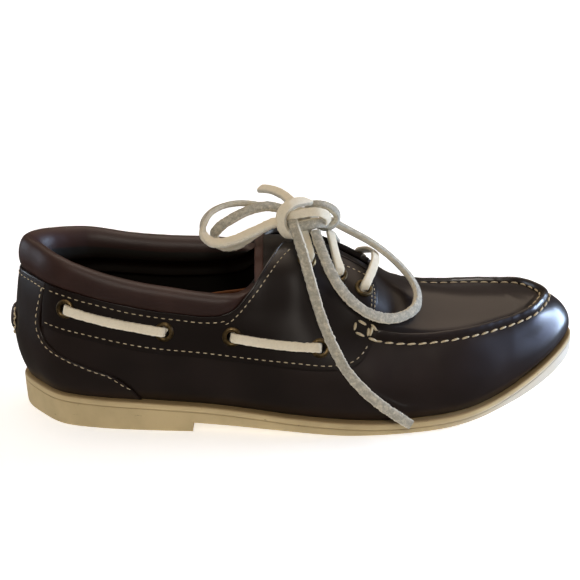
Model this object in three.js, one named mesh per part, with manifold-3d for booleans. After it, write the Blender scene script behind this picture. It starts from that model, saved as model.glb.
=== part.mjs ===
// Right boat shoe: moulded rubber sole, hand-sewn leather upper with a padded collar, rawhide lace.
// Millimetres. The toe points to +X, the shoe's medial (inner) side to +Y, and +Z is up. All shapes are
// worked out with the back of the heel at x = 0; the last step moves the origin under the middle.
import * as THREE from "three";
import { mergeVertices } from "three/addons/utils/BufferGeometryUtils.js";
import Module from "manifold-3d";

const wasm = await Module();
wasm.setup();

// ---- Driving dimensions -------------------------------------------------------------------------
const LENGTH = 300; // sole, heel to toe
const HEEL_LENGTH = 95; // back of the heel to its breast
const TREAD_FLAT = [178, 212]; // from where to where the tread lies flat on the floor
const HEEL_SPINE = 38; // the last's centre line runs from here ...
const TOE_SPINE = 262; // ... to here, with a fan of sections round each end
const LEDGE = 4; // sole edge to upper
const WALL = 2; // upper leather with its lining
const GAP = 0.3; // clearance between neighbouring pieces
const INSOLE = 2.5;
const TONGUE = 1.8;
const LACE_WIDTH = 4.2;
const LACE_THICK = 2.2;
const CORD_RADIUS = 1.8; // free lace, as a plain round cord
const EYELET = { hole: 2.7, barrel: 3.2, flange: 5, depth: 1.8, seat: 0.6, crown: 1.3, sides: 10 };
const COLLAR_EAR = 12; // how far the collar's lining reaches down inside the upper
const SIDE_STATIONS = 30; // steps from heel to toe on each side
const CROWDING = 0.8; // how strongly the steps crowd towards heel and toe, from 0 to 1

// ---- Tables -------------------------------------------------------------------------------------
// Plan outline of the sole.
const OUTLINE = [
  { x: 0, lateral: 0, medial: 0 },
  { x: 10, lateral: -18.3, medial: 20 },
  { x: 25, lateral: -32, medial: 29 },
  { x: 45, lateral: -38.4, medial: 33 },
  { x: 75, lateral: -43, medial: 32.5 },
  { x: 110, lateral: -47, medial: 30 },
  { x: 150, lateral: -53, medial: 33.5 },
  { x: 185, lateral: -55, medial: 42.5 },
  { x: 210, lateral: -52.8, medial: 47.5 },
  { x: 235, lateral: -47.3, medial: 48 },
  { x: 260, lateral: -34.8, medial: 45 },
  { x: 280, lateral: -22, medial: 36.5 },
  { x: 293, lateral: -9.5, medial: 24.5 },
  { x: 300, lateral: 6.75, medial: 6.75 },
];

// Heights of the sole's top edge, and of its underside in front of the heel breast:
// arch, tread and toe spring.
const SOLE_TOP = [
  { x: 0, z: 18.8 },
  { x: 95, z: 15.3 },
  { x: 200, z: 6.8 },
  { x: 250, z: 10.6 },
  { x: 300, z: 30.5 },
];
const SOLE_BOTTOM = [
  { x: 95, z: 5 },
  { x: 140, z: 2.5 },
  { x: 178, z: 0 },
  { x: 212, z: 0 },
  { x: 240, z: 2.15 },
  { x: 270, z: 8.3 },
  { x: 300, z: 18.8 },
];

// Centre line of the last: its place across the shoe, and the height of its crown.
const SPINE = [
  { x: 38, y: -1, crown: 98 },
  { x: 75, y: -3, crown: 97 },
  { x: 110, y: -5, crown: 95 },
  { x: 136, y: -5.4, crown: 93.5 },
  { x: 152, y: -5, crown: 94 },
  { x: 165, y: -4, crown: 89.5 },
  { x: 175, y: -3, crown: 84 },
  { x: 186, y: -1.9, crown: 76 },
  { x: 199, y: 0, crown: 66.5 },
  { x: 215, y: 1.4, crown: 60 },
  { x: 235, y: 3, crown: 55.5 },
  { x: 262, y: 5.5, crown: 53 },
];

// Sections of the last. Each level holds how far it lies inside the sole edge, and its height.
const HEEL_BACK = {
  x: 0,
  low: [1.5, 26],
  belly: [-0.6, 40],
  waist: [2.5, 62],
  shoulder: [5.5, 76],
  brow: [10, 90],
};
const TOE_TIP = {
  x: 300,
  low: [1.5, 33.5],
  belly: [1.5, 38],
  waist: [4.5, 44],
  shoulder: [13, 50.5],
  brow: [22, 52],
};
const SECTIONS = {
  lateral: [
    HEEL_BACK,
    { x: 45, low: [1, 25], belly: [-1.5, 38], waist: [1, 58], shoulder: [4.4, 72], brow: [9, 84] },
    { x: 75, low: [1, 24], belly: [-1, 36], waist: [1.5, 52], shoulder: [5, 65], brow: [10, 80] },
    { x: 110, low: [1, 22], belly: [0, 32], waist: [2.5, 48], shoulder: [5.5, 62], brow: [10, 75] },
    { x: 130, low: [1, 20], belly: [0.5, 30], waist: [4, 47], shoulder: [9, 63], brow: [17, 80] },
    { x: 150, low: [1, 18], belly: [0.5, 28], waist: [5, 44], shoulder: [14, 62], brow: [26, 82] },
    { x: 168, low: [1, 17], belly: [0.5, 26], waist: [5, 40], shoulder: [14.5, 54], brow: [27, 72] },
    { x: 185, low: [1, 15], belly: [0.5, 24], waist: [6, 37], shoulder: [15, 48], brow: [26, 66] },
    { x: 200, low: [1, 14], belly: [1, 22], waist: [6, 34], shoulder: [14, 45], brow: [28, 57] },
    { x: 215, low: [1, 13], belly: [1, 21], waist: [5.5, 32.5], shoulder: [13.5, 44], brow: [27, 51.5] },
    { x: 235, low: [1, 14], belly: [1.2, 21.5], waist: [5, 32.5], shoulder: [13, 44.5], brow: [26, 49.5] },
    { x: 260, low: [1, 19], belly: [1.2, 25.5], waist: [4.5, 35], shoulder: [12, 45.5], brow: [22, 49.5] },
    { x: 280, low: [1, 25], belly: [1.2, 30], waist: [4.5, 38], shoulder: [9.5, 47.5], brow: [18, 51] },
    TOE_TIP,
  ],
  medial: [
    HEEL_BACK,
    { x: 45, low: [1, 25], belly: [-1.5, 38], waist: [1, 60], shoulder: [4, 76], brow: [8, 89] },
    { x: 75, low: [1, 24], belly: [-1, 38], waist: [1, 56], shoulder: [4, 71], brow: [8, 85] },
    { x: 110, low: [0, 22], belly: [-3, 34], waist: [-2, 52], shoulder: [1, 67], brow: [6, 80] },
    { x: 130, low: [0, 20], belly: [-3, 32], waist: [-1, 50], shoulder: [5, 70], brow: [11, 86] },
    { x: 150, low: [0, 18], belly: [-2.5, 30], waist: [1, 48], shoulder: [7, 66], brow: [15, 84] },
    { x: 168, low: [0.5, 17], belly: [-1, 28], waist: [3, 43], shoulder: [10, 59], brow: [18, 75] },
    { x: 185, low: [1, 16], belly: [0, 26], waist: [4, 40], shoulder: [10.5, 53], brow: [20, 68] },
    { x: 200, low: [1, 15], belly: [0.5, 24], waist: [4, 37], shoulder: [9.5, 51], brow: [21, 59.5] },
    { x: 215, low: [1, 14], belly: [1, 23], waist: [4, 35], shoulder: [10, 47.5], brow: [22, 53.5] },
    { x: 235, low: [1, 15], belly: [1.2, 22.5], waist: [4.5, 34], shoulder: [10.5, 46.8], brow: [24, 51] },
    { x: 260, low: [1, 19], belly: [1.2, 25.5], waist: [4.5, 35.5], shoulder: [11, 48], brow: [22, 51] },
    { x: 280, low: [1, 25], belly: [1.2, 30], waist: [4.5, 38.5], shoulder: [9, 49.2], brow: [18, 51.7] },
    TOE_TIP,
  ],
};
const LEVELS = ["low", "belly", "waist", "shoulder", "brow"];
const CROWN_LEVEL = LEVELS.length + 1;

// Top line of the leather: height where the padded collar starts, then up the back edge of the facings.
const TOP_LINE_HALF = 40; // the two columns hold at y = -40 and +40, and lie on straight lines across
const TOP_LINE = [
  { x: -10, lateral: 79.5, medial: 79 },
  { x: 10, lateral: 79, medial: 77.8 },
  { x: 20, lateral: 77.5, medial: 77.2 },
  { x: 33, lateral: 75, medial: 77 },
  { x: 45, lateral: 72, medial: 76.3 },
  { x: 60, lateral: 68.5, medial: 75.2 },
  { x: 75, lateral: 65.5, medial: 74.3 },
  { x: 90, lateral: 63.8, medial: 74.1 },
  { x: 103, lateral: 62.6, medial: 74.3 },
  { x: 113, lateral: 63.2, medial: 75 },
  { x: 120, lateral: 66, medial: 76.8 },
  { x: 127, lateral: 73, medial: 81 },
  { x: 136, lateral: 83.5, medial: 87.5 },
  { x: 144, lateral: 91.5, medial: 93 },
  { x: 150, lateral: 98, medial: 98.5 },
];

// Throat between the facings, in plan.
const THROAT = [
  { x: 140, lateral: -15, medial: 6 },
  { x: 152, lateral: -14, medial: 7.5 },
  { x: 175, lateral: -12.8, medial: 9.5 },
  { x: 186, lateral: -12.5, medial: 11.5 },
  { x: 189.5, lateral: -8.5, medial: 8 },
];

// Padded collar: height of its roll above the top line, from its front ends round the heel.
const COLLAR_ROLL = [
  { x: 0, height: 17 },
  { x: 30, height: 15.5 },
  { x: 60, height: 13 },
  { x: 90, height: 12 },
  { x: 110, height: 10.5 },
  { x: 117, height: 8 },
  { x: 122, height: 4 },
];
const COLLAR_FRONT = 122;
// Its section: how far inside the upper's outer face, and how high as a share of the roll.
const COLLAR_SECTION = [
  { inside: 0.1, share: 0.035 },
  { inside: -0.9, share: 0.3 },
  { inside: -0.4, share: 0.65 },
  { inside: 1.8, share: 0.92 },
  { inside: 5, share: 1 },
  { inside: 8.4, share: 0.9 },
  { inside: 10.4, share: 0.6 },
  { inside: 10.6, share: 0.2 },
  { inside: 8.6, share: -0.3 },
];

// Tongue: how far down each side it reaches, as a level of the last.
const TONGUE_SIDES = [
  { x: 131, lateral: 4.55, medial: 4.5 },
  { x: 150, lateral: 4.5, medial: 4.45 },
  { x: 175, lateral: 4.55, medial: 4.5 },
  { x: 200, lateral: 4.9, medial: 4.85 },
];
const TONGUE_OFFSET = WALL + 0.9;

const FACING_EYELETS = {
  lateral: [
    { x: 155.5, z: 84 },
    { x: 171.4, z: 75.8 },
    { x: 184.1, z: 69 },
  ],
  medial: [
    { x: 155.5, z: 85.7 },
    { x: 171.4, z: 77.6 },
    { x: 184.1, z: 70.5 },
  ],
};
const SIDE_EYELETS = {
  lateral: [
    { x: 33.7, z: 65.9 },
    { x: 83.7, z: 55.3 },
    { x: 117.6, z: 52.7 },
    { x: 161, z: 46.2 },
  ],
  medial: [
    { x: 33.7, z: 67 },
    { x: 83.7, z: 59 },
    { x: 117.6, z: 56.5 },
    { x: 161, z: 49.5 },
  ],
};

// Free lace: the knot, and the route of each loop and end, chosen by hand.
const KNOT = { centre: [155, -3, 101.5], radii: [8, 8.5, 5.5] };
const ROUTES = {
  lace_loop_front: [
    [164.5, 0, 100.5],
    [170, 1.5, 97],
    [179, 2, 91.5],
    [189.5, 1, 85.5],
    [199, -1, 78.5],
    [206.5, -4, 71.5],
    [211.5, -9, 65.5],
    [213, -17, 61],
    [209.8, -27, 57.5],
    [199.5, -35.5, 56.5],
    [189, -39, 59.5],
    [179.5, -38.8, 65.6],
    [172.3, -35.8, 73.3],
    [167, -31, 82],
    [163.4, -24, 90],
    [160.5, -15.5, 97.2],
  ],
  lace_loop_rear: [
    [144.5, -1, 104.5],
    [132, 0, 107.5],
    [123, -1, 109],
    [113.5, -4, 108.5],
    [107, -8, 106],
    [104, -14, 102],
    [104.8, -19.5, 97.5],
    [110, -22.5, 94.8],
    [120, -22.5, 96.3],
    [130, -20, 99.7],
    [139, -15.5, 102],
    [145, -10.5, 102.2],
  ],
  lace_end_front: [
    [149.2, -15, 103.4],
    [151, -21, 98.3],
    [153.8, -28.5, 90.5],
    [157.4, -37, 78],
    [161.8, -43.8, 62.5],
    [166.8, -49.7, 50],
    [173, -55.2, 38.5],
    [181, -58.4, 29],
    [190, -60, 20.8],
    [198, -60.2, 14.4],
    [205, -59.8, 9],
  ],
  lace_end_rear: [
    [152, 7, 103],
    [148.5, 14, 105.2],
    [143.5, 24, 106.5],
    [137.5, 35, 106],
    [132, 45, 104],
  ],
};
const CORD_STEPS = { lace_loop_front: 34, lace_loop_rear: 26, lace_end_front: 24, lace_end_rear: 10 };

// ---- Curves -------------------------------------------------------------------------------------
// A smooth function through a table's rows, without overshoot.
function track(keys, values) {
  const last = keys.length - 1;
  const steps = keys.slice(1).map((key, i) => key - keys[i]);
  const rises = steps.map((step, i) => (values[i + 1] - values[i]) / step);
  const slopes = keys.map((_, i) => {
    if (i === 0 || i === last) return rises[i === 0 ? 0 : last - 1];
    const [before, after] = [rises[i - 1], rises[i]];
    if (before * after <= 0) return 0;
    const mean = (steps[i] * before + steps[i - 1] * after) / (steps[i - 1] + steps[i]);
    const limit = 3 * Math.min(Math.abs(before), Math.abs(after));
    return Math.max(-limit, Math.min(limit, mean));
  });
  return (key) => {
    const at = Math.max(keys[0], Math.min(keys[last], key));
    let i = 0;
    while (i < last - 1 && at >= keys[i + 1]) i++;
    const share = (at - keys[i]) / steps[i];
    return hermite(values[i], values[i + 1], slopes[i] * steps[i], slopes[i + 1] * steps[i], share);
  };
}

function hermite(a, b, slopeA, slopeB, t) {
  const t2 = t * t;
  const t3 = t2 * t;
  const shareB = 3 * t2 - 2 * t3;
  return (1 - shareB) * a + shareB * b + (t3 - 2 * t2 + t) * slopeA + (t3 - t2) * slopeB;
}

const column = (rows, name) => track(rows.map((row) => row.x), rows.map((row) => row[name]));

// Turn from the heel's back (0) to the toe's tip (PI): sections bunch up where the outline turns.
const turnAt = (x) => Math.acos(Math.max(-1, Math.min(1, 1 - (2 * x) / LENGTH)));

const outlineTurns = OUTLINE.map((row) => turnAt(row.x));
const outlineY = {
  lateral: track(outlineTurns, OUTLINE.map((row) => row.lateral)),
  medial: track(outlineTurns, OUTLINE.map((row) => row.medial)),
};
const soleTop = column(SOLE_TOP, "z");
const archBottom = column(SOLE_BOTTOM, "z");
const soleBottom = (x) => (x < HEEL_LENGTH ? 0 : archBottom(x));
const spineY = column(SPINE, "y");
const crown = column(SPINE, "crown");
const levelTracks = {};
for (const [side, rows] of Object.entries(SECTIONS)) {
  const xs = rows.map((row) => row.x);
  levelTracks[side] = LEVELS.map((level) => ({
    inset: track(xs, rows.map((row) => row[level][0])),
    z: track(xs, rows.map((row) => row[level][1])),
  }));
}
const topLineTracks = { lateral: column(TOP_LINE, "lateral"), medial: column(TOP_LINE, "medial") };
const collarHeight = column(COLLAR_ROLL, "height");

function topLine(x, y) {
  const share = (y + TOP_LINE_HALF) / (2 * TOP_LINE_HALF);
  return topLineTracks.lateral(x) * (1 - share) + topLineTracks.medial(x) * share;
}

// ---- The last -----------------------------------------------------------------------------------
// One station on the sole's outline: the spine point it belongs to, the direction out, and the reach.
function station(side, turn) {
  const x = (LENGTH / 2) * (1 - Math.cos(turn));
  const y = outlineY[side](turn);
  const spineX = Math.max(HEEL_SPINE, Math.min(TOE_SPINE, x));
  const spine = [spineX, spineY(spineX)];
  const reach = Math.hypot(x - spine[0], y - spine[1]);
  return { side, x, spine, out: [(x - spine[0]) / reach, (y - spine[1]) / reach], reach };
}

const stationAt = (side, x) => station(side, turnAt(x));

// The section through a station, as points of distance from the spine and height.
function sectionPoints(place) {
  const points = [[place.reach - LEDGE, soleTop(place.x) + GAP]];
  for (const { inset, z } of levelTracks[place.side]) {
    points.push([place.reach - inset(place.x), z(place.x)]);
  }
  points.push([0, crown(place.spine[0])]);
  const brow = points[CROWN_LEVEL - 1];
  points.push([-brow[0], brow[1]]);
  return points;
}

// Point of the section at a level, moved outwards by a distance, with the outward direction there.
function sectionAt(place, level, outwards = 0) {
  place.section ??= sectionPoints(place);
  const points = place.section;
  const span = (i) => Math.hypot(points[i + 1][0] - points[i][0], points[i + 1][1] - points[i][1]);
  const rise = (i, axis) => (points[i + 1][axis] - points[i][axis]) / span(i);
  const slope = (i, axis) => {
    if (i === 0) return rise(0, axis);
    return (span(i) * rise(i - 1, axis) + span(i - 1) * rise(i, axis)) / (span(i - 1) + span(i));
  };
  const i = Math.min(Math.floor(level), CROWN_LEVEL - 1);
  const length = span(i);
  const at = (axis, t) =>
    hermite(points[i][axis], points[i + 1][axis], slope(i, axis) * length, slope(i + 1, axis) * length, t);
  const t = level - i;
  const step = 1e-4;
  const along = [0, 1].map((axis) => at(axis, t + step) - at(axis, t - step));
  const size = Math.hypot(...along);
  const normal = [along[1] / size, -along[0] / size];
  return { r: at(0, t) + normal[0] * outwards, z: at(1, t) + normal[1] * outwards, normal };
}

const placed = (place, r, z) =>
  new THREE.Vector3(place.spine[0] + place.out[0] * r, place.spine[1] + place.out[1] * r, z);

function onLast(place, level, outwards = 0) {
  const { r, z } = sectionAt(place, level, outwards);
  return placed(place, r, z);
}

function normalOnLast(place, level) {
  const step = 0.05;
  const lengthwise = onLast(stationAt(place.side, place.x + step), level);
  lengthwise.sub(onLast(stationAt(place.side, place.x - step), level));
  const upwards = onLast(place, level + step / 5).sub(onLast(place, level - step / 5));
  const normal = lengthwise.cross(upwards).normalize();
  return place.side === "lateral" ? normal : normal.negate();
}

// Level of the section at a height, above its belly.
function levelAtHeight(place, z) {
  let low = 2;
  let high = CROWN_LEVEL;
  for (let i = 0; i < 40; i++) {
    const middle = (low + high) / 2;
    if (sectionAt(place, middle).z < z) low = middle;
    else high = middle;
  }
  return low;
}

// ---- Meshes and solids --------------------------------------------------------------------------
function geometryOf(triangles) {
  const flat = new THREE.BufferGeometry();
  const numbers = triangles.flatMap((p) => [p.x, p.y, p.z]);
  flat.setAttribute("position", new THREE.Float32BufferAttribute(numbers, 3));
  return flat;
}

function solidOf(geometry) {
  const bare = geometry.index ? geometry.toNonIndexed() : geometry.clone();
  bare.deleteAttribute("normal");
  bare.deleteAttribute("uv");
  const merged = mergeVertices(bare, 1e-3);
  const kept = [];
  const index = merged.index.array;
  for (let i = 0; i < index.length; i += 3) {
    const [a, b, c] = [index[i], index[i + 1], index[i + 2]];
    if (a !== b && b !== c && c !== a) kept.push(a, b, c);
  }
  const vertProperties = merged.attributes.position.array;
  const build = (list) =>
    new wasm.Manifold(new wasm.Mesh({ numProp: 3, vertProperties, triVerts: new Uint32Array(list) }));
  const made = build(kept);
  if (made.volume() > 0) return made;
  for (let i = 0; i < kept.length; i += 3) [kept[i + 1], kept[i + 2]] = [kept[i + 2], kept[i + 1]];
  return build(kept);
}

function meshOf(name, solid, material) {
  const { numProp, vertProperties, triVerts } = solid.getMesh();
  const geometry = new THREE.BufferGeometry();
  geometry.setAttribute("position", new THREE.BufferAttribute(new Float32Array(vertProperties), numProp));
  geometry.setIndex(new THREE.BufferAttribute(new Uint32Array(triVerts), 1));
  geometry.computeVertexNormals();
  const mesh = new THREE.Mesh(geometry, material);
  mesh.name = name;
  return mesh;
}

// Skin between rows of points. With `around` the rows close on themselves.
function skin(rows, around) {
  const triangles = [];
  for (let k = 0; k + 1 < rows.length; k++) {
    const count = rows[k].length;
    for (let j = 0; j < (around ? count : count - 1); j++) {
      const [a, b] = [rows[k][j], rows[k][(j + 1) % count]];
      const [c, d] = [rows[k + 1][(j + 1) % count], rows[k + 1][j]];
      triangles.push(a, b, c, a, c, d);
    }
  }
  return triangles;
}

// A solid between rings that run round the shoe, the first and last of which close on the spine.
const ringSolid = (rings) => solidOf(geometryOf(skin(rings, true)));

// A loft of equal sections with flat ends.
function loft(sections) {
  const triangles = skin(sections, true);
  const cap = (ring, facesStart) => {
    const flat = flattened(ring);
    for (const [a, b, c] of THREE.ShapeUtils.triangulateShape(flat, [])) {
      const turnsLeft = THREE.ShapeUtils.area([flat[a], flat[b], flat[c]]) > 0;
      if (turnsLeft === facesStart) triangles.push(ring[a], ring[c], ring[b]);
      else triangles.push(ring[a], ring[b], ring[c]);
    }
  };
  cap(sections[0], true);
  cap(sections[sections.length - 1], false);
  return solidOf(geometryOf(triangles));
}

// A nearly flat ring of points, in its own plane and anticlockwise there.
function flattened(ring) {
  const normal = new THREE.Vector3();
  const centre = ring[0];
  ring.forEach((p, i) => {
    const next = ring[(i + 1) % ring.length];
    normal.add(p.clone().sub(centre).cross(next.clone().sub(centre)));
  });
  normal.normalize();
  const across = ring[1].clone().sub(centre).projectOnPlane(normal).normalize();
  const up = normal.clone().cross(across);
  return ring.map((p) => new THREE.Vector2(p.dot(across), p.dot(up)));
}

// Places along the shoe where sections stand, closer together round the heel and the toe.
const SECTION_XS = Array.from({ length: SIDE_STATIONS + 1 }, (_, i) => {
  const share = i / SIDE_STATIONS;
  const crowded = (1 - Math.cos(Math.PI * share)) / 2;
  return LENGTH * (CROWDING * crowded + (1 - CROWDING) * share);
});

// Stations all round the shoe: heel to toe on the lateral side, then back on the medial side.
function stationsAround(extraXs = []) {
  const clear = 2.5;
  const kept = SECTION_XS.filter((x) => extraXs.every((other) => Math.abs(other - x) > clear));
  const all = [...kept, ...extraXs].sort((a, b) => a - b);
  return [
    ...all.map((x) => stationAt("lateral", x)),
    ...all.slice(1, -1).reverse().map((x) => stationAt("medial", x)),
  ];
}

// ---- Sole and insole ----------------------------------------------------------------------------
function buildSole() {
  const breast = 0.4; // the heel breast's slant
  const stations = stationsAround([HEEL_LENGTH - breast, HEEL_LENGTH + breast, ...TREAD_FLAT]);
  const ring = (inset, height) =>
    stations.map((place) => {
      const r = Math.max(0, place.reach - inset);
      const point = placed(place, r, 0);
      point.z = height(point.x);
      return point;
    });
  const share = (part, height) =>
    stations.map((place) => {
      const point = placed(place, place.reach * part, 0);
      point.z = height(point.x);
      return point;
    });
  const above = (drop) => (x) => soleTop(x) - drop;
  const below = (lift) => (x) => soleBottom(x) + lift;
  const rings = [
    share(0, above(0)),
    share(0.6, above(0)),
    ring(1.2, above(0)),
    ring(0.3, above(0.35)),
    ring(0, above(1.3)),
    ring(0, below(2)),
    ring(0.5, below(0.6)),
    ring(1.8, below(0)),
    share(0.55, below(0)),
    share(0, below(0)),
  ];
  return ringSolid(rings);
}

function buildInsole() {
  const stations = stationsAround();
  const inset = LEDGE + WALL + 0.9;
  const level = (height) => (place) => soleTop(place.x) + GAP + height;
  const ring = (extra, height) =>
    stations.map((place) => placed(place, place.reach - inset - extra, level(height)(place)));
  const spineHeight = (height) =>
    stations.map((place) => placed(place, 0, soleTop(place.spine[0]) + GAP + height));
  return ringSolid([spineHeight(0), ring(0.3, 0), ring(0, 1), ring(0.8, INSOLE), spineHeight(INSOLE)]);
}

// ---- Upper --------------------------------------------------------------------------------------
// Raised seam where the plug is gathered onto the wall, just above the shoulder round the toe.
const SEAM = { middle: 3.2, half: 3, height: 1.9, start: 187, full: 193 };

function seamRise(place, distance) {
  const along = Math.max(0, Math.min(1, (place.x - SEAM.start) / (SEAM.full - SEAM.start)));
  const across = Math.max(0, 1 - Math.abs(distance - SEAM.middle) / SEAM.half);
  return SEAM.height * along * Math.sin((Math.PI / 2) * across);
}

function buildUpper() {
  const stations = stationsAround();
  const browSpan = (place) => {
    const points = sectionPoints(place);
    return Math.hypot(points[5][0] - points[4][0], points[5][1] - points[4][1]);
  };
  const ring = (level, outwards) => stations.map((place) => onLast(place, level, outwards));
  const seamRing = (distance) =>
    stations.map((place) => onLast(place, 4 + distance / browSpan(place), seamRise(place, distance)));
  const spineAt = (z) => stations.map((place) => placed(place, 0, z(place)));
  const bottom = (drop) => (place) => soleTop(place.spine[0]) + GAP - drop;
  const outer = [
    spineAt(bottom(0)),
    ...[0, 0.6, 1.2, 2, 2.7, 3.4, 4].map((level) => ring(level, 0)),
    ...[1.6, 3.2, 4.8, 6.4].map(seamRing),
    ...[4.75, 5.1, 5.5, CROWN_LEVEL].map((level) => ring(level, 0)),
  ];
  const innerFoot = stations.map((place) => {
    const foot = onLast(place, 0, -WALL);
    foot.z -= 6;
    return foot;
  });
  const inner = [
    spineAt(bottom(6)),
    innerFoot,
    ...[0, 1.2, 2.7, 4, 4.6, 5.1, 5.5, CROWN_LEVEL].map((level) => ring(level, -WALL)),
  ];
  return ringSolid(outer).subtract(ringSolid(inner)).subtract(topOpening()).subtract(throatOpening());
}

// Everything above the top line, from the heel to the back edge of the facings.
function topOpening() {
  const [start, end] = [TOP_LINE[0].x, TOP_LINE[TOP_LINE.length - 1].x];
  const steps = 40;
  const width = 100;
  const ceiling = 130;
  const sections = Array.from({ length: steps + 1 }, (_, i) => {
    const x = start + ((end - start) * i) / steps;
    return [
      new THREE.Vector3(x, -width, topLine(x, -width)),
      new THREE.Vector3(x, width, topLine(x, width)),
      new THREE.Vector3(x, width, ceiling),
      new THREE.Vector3(x, -width, ceiling),
    ];
  });
  return loft(sections);
}

function throatOpening() {
  const outline = new THREE.Shape([
    ...THROAT.map((row) => new THREE.Vector2(row.x, row.lateral)),
    ...THROAT.map((row) => new THREE.Vector2(row.x, row.medial)).reverse(),
  ]);
  const prism = new THREE.ExtrudeGeometry(outline, { depth: 80, bevelEnabled: false });
  prism.translate(0, 0, 50);
  return solidOf(prism);
}

// ---- Collar and tongue --------------------------------------------------------------------------
function buildCollar() {
  const xs = [...SECTION_XS.filter((x) => x < COLLAR_FRONT - 2), COLLAR_FRONT];
  const path = [
    ...xs.slice(1).reverse().map((x) => stationAt("lateral", x)),
    ...xs.map((x) => stationAt("medial", x)),
  ];
  const sections = path.map((place) => {
    let edge = topLine(place.x, 0);
    let r = 0;
    for (let i = 0; i < 4; i++) {
      r = sectionAt(place, levelAtHeight(place, edge)).r;
      const point = placed(place, r, 0);
      edge = topLine(point.x, point.y);
    }
    const height = collarHeight(place.x);
    const roll = COLLAR_SECTION.map(({ inside, share }) =>
      placed(place, r - inside, edge + Math.max(share * height, share > 0 ? GAP + 0.2 : -99)),
    );
    const wallFace = (drop) => sectionAt(place, levelAtHeight(place, edge - drop)).r - WALL - GAP - 0.35;
    const ear = [
      placed(place, wallFace(COLLAR_EAR) - 2, edge - COLLAR_EAR),
      placed(place, wallFace(COLLAR_EAR), edge - COLLAR_EAR),
      placed(place, wallFace(COLLAR_EAR / 2), edge - COLLAR_EAR / 2),
      placed(place, wallFace(0), edge + GAP + 0.2),
    ];
    return [...roll, ...ear];
  });
  return loft(sections);
}

function buildTongue() {
  const sides = { lateral: column(TONGUE_SIDES, "lateral"), medial: column(TONGUE_SIDES, "medial") };
  const across = 7;
  const [back, front] = [TONGUE_SIDES[0].x, TONGUE_SIDES[TONGUE_SIDES.length - 1].x];
  const xs = [back, ...SECTION_XS.filter((x) => x > back + 2 && x < front - 2), front];
  const sections = xs.map((x) => {
    const line = (inwards) => {
      const half = (side) =>
        Array.from({ length: across + 1 }, (_, k) => {
          const level = sides[side](x) + ((CROWN_LEVEL - sides[side](x)) * k) / across;
          return onLast(stationAt(side, x), level, -inwards);
        });
      return [...half("lateral"), ...half("medial").reverse().slice(1)];
    };
    return [...line(TONGUE_OFFSET), ...line(TONGUE_OFFSET + TONGUE).reverse()];
  });
  const triangles = skin(sections, true);
  const strip = (ring, flip) => {
    const last = ring.length - 1;
    for (let k = 0; k + 1 < ring.length / 2; k++) {
      const [a, b, c, d] = [ring[k], ring[k + 1], ring[last - k - 1], ring[last - k]];
      if (flip) triangles.push(a, b, c, a, c, d);
      else triangles.push(a, c, b, a, d, c);
    }
  };
  strip(sections[0], false);
  strip(sections[sections.length - 1], true);
  return solidOf(geometryOf(triangles));
}

// ---- Eyelets ------------------------------------------------------------------------------------
function eyeletPlace(side, { x, z }) {
  const place = stationAt(side, x);
  const level = levelAtHeight(place, z);
  return { point: onLast(place, level), normal: normalOnLast(place, level) };
}

const UP = new THREE.Vector3(0, 1, 0);

function standing(geometry, { point, normal }) {
  geometry.applyQuaternion(new THREE.Quaternion().setFromUnitVectors(UP, normal));
  return geometry.translate(point.x, point.y, point.z);
}

function eyeletSolid(at) {
  const { hole, barrel, flange, depth, seat, crown: top } = EYELET;
  const profile = [
    [hole, -depth],
    [barrel, -depth],
    [barrel, seat],
    [flange, seat],
    [flange - 0.6, top],
    [hole, top],
    [hole, -depth],
  ].map(([r, h]) => new THREE.Vector2(r, h));
  return solidOf(standing(new THREE.LatheGeometry(profile, EYELET.sides), at));
}

function eyeletHole(at) {
  const radius = EYELET.barrel + GAP;
  return solidOf(standing(new THREE.CylinderGeometry(radius, radius, 8, EYELET.sides), at));
}

// ---- Lace ---------------------------------------------------------------------------------------
// Flat lace along points, lying across the side direction given for each.
function ribbon(points, sides) {
  const [w, t] = [LACE_WIDTH / 2, LACE_THICK / 2];
  const corner = 0.5;
  const outline = [
    [-w, -t + corner],
    [-w, t - corner],
    [-w + corner, t],
    [w - corner, t],
    [w, t - corner],
    [w, -t + corner],
    [w - corner, -t],
    [-w + corner, -t],
  ];
  const sections = points.map((point, i) => {
    const before = points[Math.max(0, i - 1)];
    const after = points[Math.min(points.length - 1, i + 1)];
    const along = after.clone().sub(before).normalize();
    const side = sides[i].clone().addScaledVector(along, -sides[i].dot(along)).normalize();
    const up = side.clone().cross(along);
    return outline.map(([a, b]) => point.clone().addScaledVector(side, a).addScaledVector(up, b));
  });
  return loft(sections);
}

// A bar between two eyelets of one side, dipping into both.
function sideBar(side, from, to) {
  const rise = EYELET.crown + LACE_THICK / 2 + GAP;
  const ends = [
    { move: 0, lift: -1 },
    { move: 0, lift: 1 },
    { move: 0.5, lift: rise - 0.55 },
    { move: 1.5, lift: rise },
    { move: 6.5, lift: rise },
    { move: 11, lift: 2 },
  ];
  const span = to.x - from.x;
  const at = (x, lift) => {
    const z = from.z + ((to.z - from.z) * (x - from.x)) / span;
    const place = stationAt(side, x);
    const level = levelAtHeight(place, z);
    return { point: onLast(place, level, lift), normal: normalOnLast(place, level) };
  };
  const stops = [
    ...ends.map(({ move, lift }) => at(from.x + move, lift)),
    at(from.x + span / 2, 2),
    ...ends.map(({ move, lift }) => at(to.x - move, lift)).reverse(),
  ];
  const run = stops[stops.length - 1].point.clone().sub(stops[0].point);
  const across = stops.map((stop) => run.clone().cross(stop.normal).normalize());
  return ribbon(stops.map((stop) => stop.point), across);
}

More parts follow.
